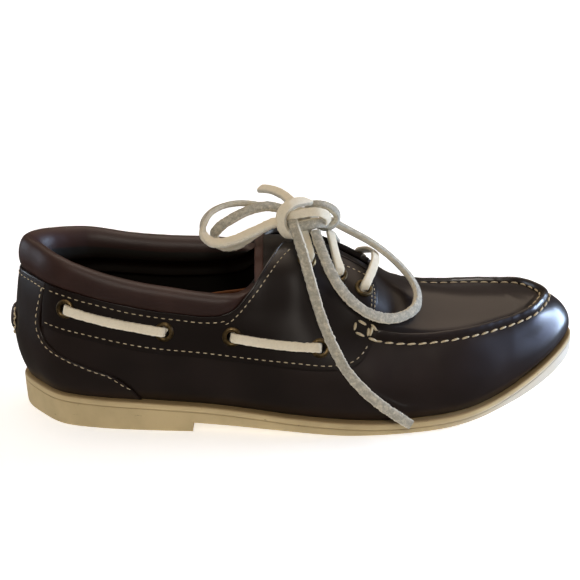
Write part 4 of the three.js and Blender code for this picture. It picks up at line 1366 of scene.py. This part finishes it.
class SHOE_OT_panels(ShoeOperator):
    """Side panels with the saddle, and the heel counter, lying over the wall"""

    bl_idname = "shoe.panels"
    bl_label = "Side panels and counter"

    def make(self, size, finish):
        for side in SIDES:
            turns = [turn_of(PANEL_BACK)]
            for x, step in PANEL_STEPS:
                turns += stepped_turns(turns[-1], turn_of(x), step=step)[1:]
            columns = len(turns) - 1

            def place(a, b):
                x = LENGTH / 2 * (1 - math.cos(turns[round(a * columns)]))
                low, high = panel_levels(side, x)
                turn = turn_at(side, x)
                level = mix(low, high, b)
                return skin(turn, level, size.panel + leather_rise(turn, level))

            bm = mapped_grid(columns, 46, place)
            thick = size.panel + 0.25
            name = f"side_panel_{side}"
            finish_skin(name, bm, finish.panel, thick, 0.32, eyelets=True)

        def counter(a, b):
            side = "medial" if a > 0.5 else "lateral"
            x, turn, level = COUNTER_EDGE[-1][1], 0.0, 0.0
            for _ in range(6):
                turn = turn_at(side, x) * abs(2 * a - 1)
                level = mix(COUNTER_LOW, open_level(turn), b)
                edge_turn = turn_at(side, x)
                at_edge = mix(COUNTER_LOW, open_level(edge_turn), b)
                x = mix(x, counter_edge(section(station(edge_turn), at_edge)[1]), 0.6)
            taper = 1 - 0.25 * soft_step(0.7, 1, abs(2 * a - 1))
            return skin(turn, level, size.counter * taper + leather_rise(turn, level))

        bm = mapped_grid(110, 60, counter)
        finish_skin("heel_counter", bm, finish.wall, size.counter * 0.9, 0.32)


SEAM_ROWS = 24
SEAM_ROWS_OUT = 18  # those that show; the others turn back under the seam


def seam_level(turn, distance):
    """Level at a distance inside the shoulder, across the raised seam."""
    span = station(turn).spans[SHOULDER - 1 if distance < 0 else SHOULDER]
    return SHOULDER + distance / span


def seam_turns(step=0.004):
    """Turns from the seam's lateral start, round the toe, to its medial start."""
    start = turn_of(SEAM_START)
    return stepped_turns(start, 2 * math.pi - start, step=step)


class SHOE_OT_seam(ShoeOperator):
    """Raised seam that gathers the plug onto the wall round the toe"""

    bl_idname = "shoe.seam"
    bl_label = "Toe seam"

    def make(self, size, finish):
        turns = seam_turns()
        columns = len(turns) - 1
        middle = [skin(round_toe(turn), seam_level(round_toe(turn), 3)) for turn in turns]
        lengths = running_lengths(middle)

        def place(a, b):
            i = round(a * columns)
            turn = round_toe(turns[i])
            share = b * SEAM_ROWS / SEAM_ROWS_OUT
            if share > 1:
                return skin(turn, seam_level(turn, mix(4.2, 0, (share - 1) * 3)), -1.6)
            distance = mix(-0.15, 4.3, share)
            ends = soft_step(0, 4, lengths[i]) * soft_step(0, 4, lengths[-1] - lengths[i])
            bulge = max(math.sin(math.pi * share ** 1.1), 0)
            height = size.seam * bulge ** 0.5 * mix(0.35, 1, ends)
            gather = math.cos(2 * math.pi * lengths[i] / size.seam_pitch)
            pull = 0.2 * soft_step(0.55, 0.1, share) + 0.13 * soft_step(0.5, 0.9, share)
            height += gather * pull * bulge
            height += 0.16 * noise.noise(middle[i] * 0.21) * bulge
            valley = SEAM_VALLEY * soft_step(0.75, 1, share) * ends
            level = seam_level(turn, distance)
            lean = (Vector((0, 0, 1)) + skin_normal(turn, level) * 0.35).normalized()
            return skin(turn, level, -0.25 - valley) + lean * height

        bm = mapped_grid(columns, SEAM_ROWS, place, closed=True)
        fill_ends(bm)
        bmesh.ops.triangulate(bm, faces=[face for face in bm.faces if len(face.verts) > 4])
        finish_piece("toe_seam", bm, finish.wall, sharp=80)


COLLAR_BAND = 12  # how far the collar's lining reaches down inside
COLLAR_TUCK = 1.6  # how far its front ends lie in behind the facings
# Sliver of tan lining past the near roll: x, and how far below the roll's shoulder.
GUSSET = ((105, 0.4), (109, -0.8), (113, -1.4), (117, -1.4), (121, -0.6), (124.5, 1.2))
GUSSET_INSET = 9.6
GUSSET_SIZE = (4.4, 1.4)


class SHOE_OT_collar(ShoeOperator):
    """Padded collar along the top line, with its band inside"""

    bl_idname = "shoe.collar"
    bl_label = "Padded collar"

    def make(self, size, finish):
        turns = all_round(0, turn_of(COLLAR_FRONT), step=0.014)
        columns = len(turns) - 1
        rings = []
        for turn in turns:
            z, level = top_edge(turn)
            spot = station(turn)
            height = collar_height(spot.x)
            inner = section(spot, level_at_height(turn, z - COLLAR_BAND))[0] - WALL - 0.65
            thin = max(height, 0) / COLLAR_ROLL[0][1]
            r = section(spot, level)[0] - COLLAR_TUCK * soft_step(116, 127, spot.x)
            ring = (
                (r - 0.6, z - 0.9),
                (r + 0.9 * thin, z + 0.16 * height),
                (r + 1.15 * thin, z + 0.45 * height),
                (r - 0.3, z + 0.78 * height),
                (r - 3.0, z + 0.98 * height),
                (r - 6.2, z + 0.96 * height),
                (r - 9.3, z + 0.72 * height),
                (r - 10.5, z + 0.36 * height),
                (r - 9.9, z - 0.06 * height),
                (inner - 3.2, z - 5),
                (inner - 2.1, z - 10.5),
                (inner - 1.6, z - 12),
                (inner - 0.4, z - 11.6),
                (inner, z - 6),
                (r - 2.6, z - 1.6),
            )
            rings.append((spot, [Vector(point) for point in ring]))

        def place(a, b):
            spot, ring = rings[round(b * columns)]
            point = off_spine(spot, *smooth_ring(ring, a % 1.0))
            puff = 0.28 * noise.noise(point * 0.06) + 0.1 * noise.noise(point * 0.2)
            return point + Vector((spot.out[0] * puff, spot.out[1] * puff, puff * 0.6))

        bm = mapped_grid(44, columns, place, closed=True)
        fill_ends(bm)
        look, solids = finish.collar, ("collar",)
        piece = finish_piece("padded_collar", bm, look, solids, sharp=60)
        points, faces = [], []
        for x, drop in GUSSET:
            turn = turn_at("lateral", x)
            z = top_edge(turn)[0]
            spot = station(turn)
            r = section(spot, level_at_height(turn, z))[0] - GUSSET_INSET
            out = Vector((*spot.out, 0))
            high = z + 0.62 * max(collar_height(x), 2) - drop
            points.append(Vector((*spot.spine, high)) + out * r)
            faces.append(-out + Vector((0, 0, 0.4)))
        ribbon("gusset_lateral", points, faces, *GUSSET_SIZE, finish.sock, rough=0.05)


class SHOE_OT_tongue(ShoeOperator):
    """Tongue under the facings, with its bound rear edge"""

    bl_idname = "shoe.tongue"
    bl_label = "Tongue"

    def make(self, size, finish):
        back, front = TONGUE_SIDES[0][0], TONGUE_SIDES[-1][0]
        under = WALL + 0.9

        def spot(x, a):
            side = "lateral" if a < 0.5 else "medial"
            return turn_at(side, x), mix(CROWN_LEVEL, tongue_level[side](x), abs(2 * a - 1))

        def place(a, b):
            x = mix(back, front, b)
            turn, level = spot(x, a)
            point = skin(turn, level)
            return skin(turn, level, -under + 0.25 * noise.noise(point * 0.07) - 0.1)

        bm = mapped_grid(70, 60, place)
        finish_skin("tongue_leather", bm, finish.tongue, 1.6, 0.3, ("tongue",), sharp=40)
        shares = [k / 16 for k in range(17)]
        points = [skin(*spot(back + 0.6, a), -under - 0.8) for a in shares]
        faces = [skin_normal(*spot(back + 0.6, a)) for a in shares]
        ribbon("tongue_binding", points, faces, 4.6, 2.7, finish.binding, rough=0.05)


class SHOE_OT_bindings(ShoeOperator):
    """Rolled edges of the facings, from the collar up to and along the throat"""

    bl_idname = "shoe.bindings"
    bl_label = "Edge bindings"

    def make(self, size, finish):
        for side in SIDES:
            xs = [mix(113, 144.5, k / 12) for k in range(13)]
            xs += [mix(147, THROAT_FRONT - 0.6, k / 14) for k in range(15)]
            points, faces = [], []
            for x in xs:
                turn = turn_at(side, x)
                points.append(skin(turn, open_level(turn), -0.35))
            for i, x in enumerate(xs):
                turn = turn_at(side, x)
                normal = skin_normal(turn, open_level(turn))
                along = points[min(i + 1, len(points) - 1)] - points[max(i - 1, 0)]
                faces.append(normal.cross(along).normalized())
            ribbon(f"facing_binding_{side}", points, faces, 3.0, 1.3, finish.panel, rough=0.05)


# Section of an eyelet's ring: distance from its middle, height over the leather.
EYELET_OUTLINE = (
    (2.75, -1.7), (2.75, 1.2), (2.9, 1.7), (3.3, 2.0), (3.9, 2.08), (4.5, 1.85), (4.9, 1.4),
    (5.0, 0.95), (4.8, 0.75), (3.2, 0.7), (3.2, -1.7),
)


class SHOE_OT_eyelets(ShoeOperator):
    """Brass eyelets"""

    bl_idname = "shoe.eyelets"
    bl_label = "Eyelets"

    def make(self, size, finish):
        for name, middle, normal in eyelet_places():
            side = normal.orthogonal().normalized()
            bm = bmesh.new()
            verts = [bm.verts.new(row(middle + side * r + normal * h)) for r, h in EYELET_OUTLINE]
            edges = [bm.edges.new((a, b)) for a, b in zip(verts, verts[1:] + verts[:1])]
            bmesh.ops.spin(
                bm,
                geom=verts + edges,
                cent=row(middle),
                axis=normal,
                dvec=(0, 0, 0),
                angle=2 * math.pi,
                steps=28,
                use_merge=True,
            )
            bmesh.ops.remove_doubles(bm, verts=bm.verts, dist=1e-6)
            finish_piece(f"{name}_ring", bm, finish.brass, (name,), sharp=50)


# The counter's stitch row, x and height on the lateral side; the medial row keeps its levels.
COUNTER_ROW = (
    (19.3, 75), (17.5, 66.8), (16.2, 57.4), (17.7, 50.4), (21.7, 45.4), (26.1, 42.7), (33.9, 38.9),
    (44.2, 35.1), (54.3, 31.6), (61.4, 26.2), (65, 21.3),
)
# x of the rows along the panel's lower edge, the collar and the throat
PANEL_ROW_X = (20.8, 44, 73, 101.5, 131, 159, 171, 177.5, 182, 185.3)
COLLAR_ROW_BACK = (0.02, 4, 9, 14, 18, 21.5)
COLLAR_ROW_FRONT = (23.2, 33, 45, 60, 75, 90, 103, 111, 115)
THROAT_ROW_X = (151, 160, 168, 176, 182, 186.5)
COLLAR_ROW_DROP = 2.8  # under the top line
THROAT_ROW_IN = 0.17  # in levels from the throat's edge
SADDLE_ROWS_APART = 1.6
SADDLE_PITCH = 2.6
FACING_PITCH = 3.1
# Rows of the saddle and of the facing: x and level
SADDLE_ROW = ((187.9, 4.4), (189, 4.68), (189.8, 5.0), (189.9, 5.22), (188.6, 5.42))
FACING_ROW = (
    (114, 3.75), (117.8, 3.88), (121.9, 4.1), (127, 4.39), (131.1, 4.61), (137.2, 4.97),
    (143.4, 5.25), (148, 5.42),
)


class SHOE_OT_stitching(ShoeOperator):
    """Machine stitches of the panels, counter and collar"""

    bl_idname = "shoe.stitching"
    bl_label = "Stitches"

    def make(self, size, finish):
        for side in SIDES:
            bm = bmesh.new()
            for spots, out, pitch in self.rows(side, size):
                path, normals = row_on_skin(spots, out)
                lay_stitches(bm, path, normals, pitch, pitch * 0.66, size.thread)
            finish_piece(f"stitches_{side}", bm, finish.thread, sharp=80)

    def rows(self, side, size):
        """Every row: its (turn, level) spots, the leather's thickness under it, its pitch."""
        on_panel, on_counter = size.panel + 0.02, size.counter + 0.02
        pitch = size.stitch_pitch

        def at(x, z):
            return turn_at(side, x), level_at_height(turn_at("lateral", x), z)

        def low(x):
            turn = turn_at(side, x)
            return turn, level_at_height(turn, PANEL_LOW_AT[side](x) + 2.5)

        yield [low(x) for x in PANEL_ROW_X], on_panel, pitch
        for inset in (0, SADDLE_ROWS_APART):
            spots = [(turn_at(side, x - inset), level) for x, level in SADDLE_ROW]
            yield spots, on_panel, SADDLE_PITCH
        yield [at(x, z) for x, z in COUNTER_ROW], on_counter, pitch
        for xs, under in ((COLLAR_ROW_BACK, on_counter), (COLLAR_ROW_FRONT, on_panel)):
            turns = [turn_at(side, x) for x in xs]
            heights = [top_edge(turn)[0] - COLLAR_ROW_DROP for turn in turns]
            yield list(zip(turns, map(level_at_height, turns, heights))), under, pitch
        spots = [(turn_at(side, x), level) for x, level in self.facing(side)]
        yield spots, on_panel, FACING_PITCH
        turns = [turn_at(side, x) for x in THROAT_ROW_X]
        yield [(turn, open_level(turn) - THROAT_ROW_IN) for turn in turns], on_panel, FACING_PITCH

    def facing(self, side):
        if side == "lateral":
            return FACING_ROW
        found = []
        for x, level in FACING_ROW:
            lateral, medial = turn_at("lateral", x), turn_at("medial", x)
            found.append((x, level + open_level(medial) - open_level(lateral)))
        return found


# The small stitched square behind the seam's start, and the wraps over its end: x and level.
START_STITCHES = (
    ((179.5, 4.31), (178.5, 4.09)),
    ((180.6, 4.36), (185.0, 4.3)),
    ((178.9, 4.06), (183.8, 4.01)),
    ((185.9, 4.26), (185.2, 4.03)),
    ((188.0, 4.34), (186.3, 4.04)),
    ((187.1, 4.36), (189.9, 4.22)),
    ((185.3, 4.0), (189.9, 3.93)),
)


class SHOE_OT_hand_stitching(ShoeOperator):
    """Hand stitches on both sides of the toe seam, and where it starts"""

    bl_idname = "shoe.hand_stitching"
    bl_label = "Hand stitches"

    def make(self, size, finish):
        turns = [round_toe(turn) for turn in seam_turns(0.006)]
        for name, distance, slant in (("outer", -0.55, 0.28), ("inner", 4.75, -0.28)):
            sunk = -0.6 * SEAM_VALLEY if name == "inner" else 0.0
            dense = [skin(turn, seam_level(turn, distance), sunk) for turn in turns]
            path = resample(dense, 0.5)
            picks = [turns[round(k / (len(path) - 1) * (len(turns) - 1))] for k in range(len(path))]
            normals = [skin_normal(turn, seam_level(turn, distance)) for turn in picks]
            bm = bmesh.new()
            length = size.seam_pitch * 0.9
            lay_stitches(bm, path, normals, size.seam_pitch, length, size.hand_thread, slant, 0.45)
            finish_piece(f"hand_stitches_{name}", bm, finish.thread, sharp=80)
        for side in SIDES:
            bm = bmesh.new()
            for start, end in START_STITCHES:
                spots = []
                for x, level in (start, end):
                    spots.append(skin(turn_at(side, x), level, size.panel + 0.1))
                normal = skin_normal(turn_at(side, start[0]), start[1])
                lay_stitch(bm, *spots, normal, size.hand_thread * 1.35)
            finish_piece(f"start_stitches_{side}", bm, finish.thread, sharp=80)


HEEL_TAB_REACH = 2  # how far forwards from the heel's back it wraps
HEEL_TAB_Z, HEEL_TAB_HEIGHT, HEEL_TAB_THICK = 50.5, 13, 3.2
# x and height of the corners of the stitches at each end of the tab
HEEL_ZIGZAG = (
    (2.2, 57.5), (1.6, 55), (2.9, 52.6), (2, 50.2), (3.2, 47.8), (2.2, 45.4), (2.8, 43.2),
)


class SHOE_OT_heel_tab(ShoeOperator):
    """Small rolled tab at the back of the heel, with its zigzag stitches"""

    bl_idname = "shoe.heel_tab"
    bl_label = "Heel tab"

    def make(self, size, finish):
        reach = turn_of(HEEL_TAB_REACH)

        def place(a, b):
            turn = mix(-reach, reach, b)
            taper = 1 - 0.3 * abs(2 * b - 1) ** 2
            angle = 2 * math.pi * a
            up = math.copysign(abs(math.sin(angle)) ** 0.75, math.sin(angle))
            z = HEEL_TAB_Z + HEEL_TAB_HEIGHT / 2 * taper * up
            z += 0.4 * noise.noise(Vector((a * 2, b * 4, 1)))
            spot = station(turn)
            wall = section(spot, level_at_height(turn, z))[0]
            puff = 0.75 + 0.25 * math.cos(math.pi * (2 * b - 1))
            r = wall + 0.9 + HEEL_TAB_THICK / 2 * puff * (1 + math.cos(angle))
            return off_spine(spot, r, z)

        bm = mapped_grid(32, 30, place, closed=True)
        fill_ends(bm)
        finish_piece("heel_tab_roll", bm, finish.collar, ("heel_tab",), sharp=60)
        bm = bmesh.new()
        for side in SIDES:
            spots = [(turn_at(side, x), z) for x, z in HEEL_ZIGZAG]
            points = [skin(turn, level_at_height(turn, z), size.counter + 0.7) for turn, z in spots]
            for a, b, (turn, z) in zip(points, points[1:], spots):
                normal = skin_normal(turn, level_at_height(turn, z))
                lay_stitch(bm, a, b, normal, size.hand_thread)
        finish_piece("heel_tab_stitches", bm, finish.thread, sharp=80)


# Floor and backdrop, in millimetres from the shoe.
FLOOR_REACH = 1200
BACKDROP_END = 14000
BACKDROP_FROM = 4000  # the floor is flat as far as this from the shoe
BACKDROP_REACH = 8000  # the less, the steeper it curves up beyond
LAMP_AIM = (150, 0, 45)
# Lamps: name, place from the shoe's middle, width, height, power, colour, all in metres and watts.
LAMPS = (
    ("ceiling", (0.0, 0.9, 2.2), 3.8, 2.8, 28, (1.0, 0.8, 0.62)),
    ("overhead", (-0.1, 0.3, 1.6), 0.7, 0.5, 4, (1.0, 0.93, 0.85)),
    ("window", (1.15, 0.2, 0.22), 0.36, 0.45, 14, (0.58, 0.74, 1.0)),
    ("sky", (1.1, -0.1, 0.3), 0.3, 0.26, 1.1, (0.42, 0.52, 1.0)),
    ("window_heel", (-1.1, 0.35, 0.2), 0.3, 0.4, 1.5, (0.75, 0.86, 1.0)),
    ("front", (-0.2, -1.6, 1.5), 0.5, 0.4, 10, (1.0, 0.93, 0.84)),
)
WORLD_COLOUR = (1.0, 0.85, 0.72, 1)
WORLD_STRENGTH = 0.07


class SHOE_OT_stage(ShoeOperator):
    """Pale floor and soft lights"""

    bl_idname = "shoe.stage"
    bl_label = "Floor and lights"

    def make(self, size, finish):
        sheets = (("floor", 0, FLOOR_REACH), ("backdrop", FLOOR_REACH, BACKDROP_END))
        for name, inner, outer in sheets:

            def place(a, b):
                r = mix(inner, outer, b)
                rise = max(0, r - BACKDROP_FROM) ** 2 / BACKDROP_REACH
                return r * math.cos(2 * math.pi * a), r * math.sin(2 * math.pi * a), rise

            bm = mapped_grid(64, 16, place, closed=True)
            mesh = bpy.data.meshes.new(name)
            bm.to_mesh(mesh)
            bm.free()
            mesh.shade_smooth()
            mesh.materials.append(finish.floor)
            sheet = bpy.data.objects.new(name, mesh)
            sheet.visible_glossy = False
            sheet.visible_diffuse = name == "floor"
            bpy.context.scene.collection.objects.link(sheet)
        aim = row(LAMP_AIM)
        for name, place, width, height, power, colour in LAMPS:
            data = bpy.data.lights.new(name, "AREA")
            data.shape = "RECTANGLE"
            data.size, data.size_y = width, height
            data.energy = power
            data.color = colour
            lamp = bpy.data.objects.new(name, data)
            bpy.context.scene.collection.objects.link(lamp)
            lamp.location = aim + Vector(place)
            lamp.rotation_euler = (-Vector(place)).to_track_quat("-Z", "Y").to_euler()
        world = bpy.data.worlds.new("room")
        world.use_nodes = True
        back = world.node_tree.nodes["Background"]
        back.inputs["Color"].default_value = WORLD_COLOUR
        back.inputs["Strength"].default_value = WORLD_STRENGTH
        bpy.context.scene.world = world
        bpy.context.scene.view_settings.view_transform = "Standard"


STEPS = (
    SHOE_OT_camera,
    SHOE_OT_free_lace,
    SHOE_OT_knot,
    SHOE_OT_side_lace,
    SHOE_OT_throat_lace,
    SHOE_OT_sole,
    SHOE_OT_insole,
    SHOE_OT_wall,
    SHOE_OT_panels,
    SHOE_OT_seam,
    SHOE_OT_collar,
    SHOE_OT_tongue,
    SHOE_OT_bindings,
    SHOE_OT_eyelets,
    SHOE_OT_stitching,
    SHOE_OT_hand_stitching,
    SHOE_OT_heel_tab,
    SHOE_OT_stage,
)


class SHOE_PT_panel(Panel):
    """Steps, sizes and colours of the shoe"""

    bl_idname = "SHOE_PT_panel"
    bl_label = "Boat Shoe"
    bl_space_type = "VIEW_3D"
    bl_region_type = "UI"
    bl_category = "Shoe"

    def draw(self, context):
        for step in STEPS:
            self.layout.operator(step.bl_idname)
        for group in (context.scene.shoe_sizes, context.scene.shoe_colours):
            box = self.layout.box()
            for name in type(group).__annotations__:
                box.prop(group, name)


CLASSES = (ShoeSizes, ShoeColours, *STEPS, SHOE_PT_panel)


def register():
    for each in CLASSES:
        bpy.utils.register_class(each)
    bpy.types.Scene.shoe_sizes = PointerProperty(type=ShoeSizes)
    bpy.types.Scene.shoe_colours = PointerProperty(type=ShoeColours)


def unregister():
    del bpy.types.Scene.shoe_colours
    del bpy.types.Scene.shoe_sizes
    for each in reversed(CLASSES):
        bpy.utils.unregister_class(each)


def main():
    register()
    for step in STEPS:
        getattr(bpy.ops.shoe, step.bl_idname.split(".")[1])()


if __name__ == "__main__":
    main()
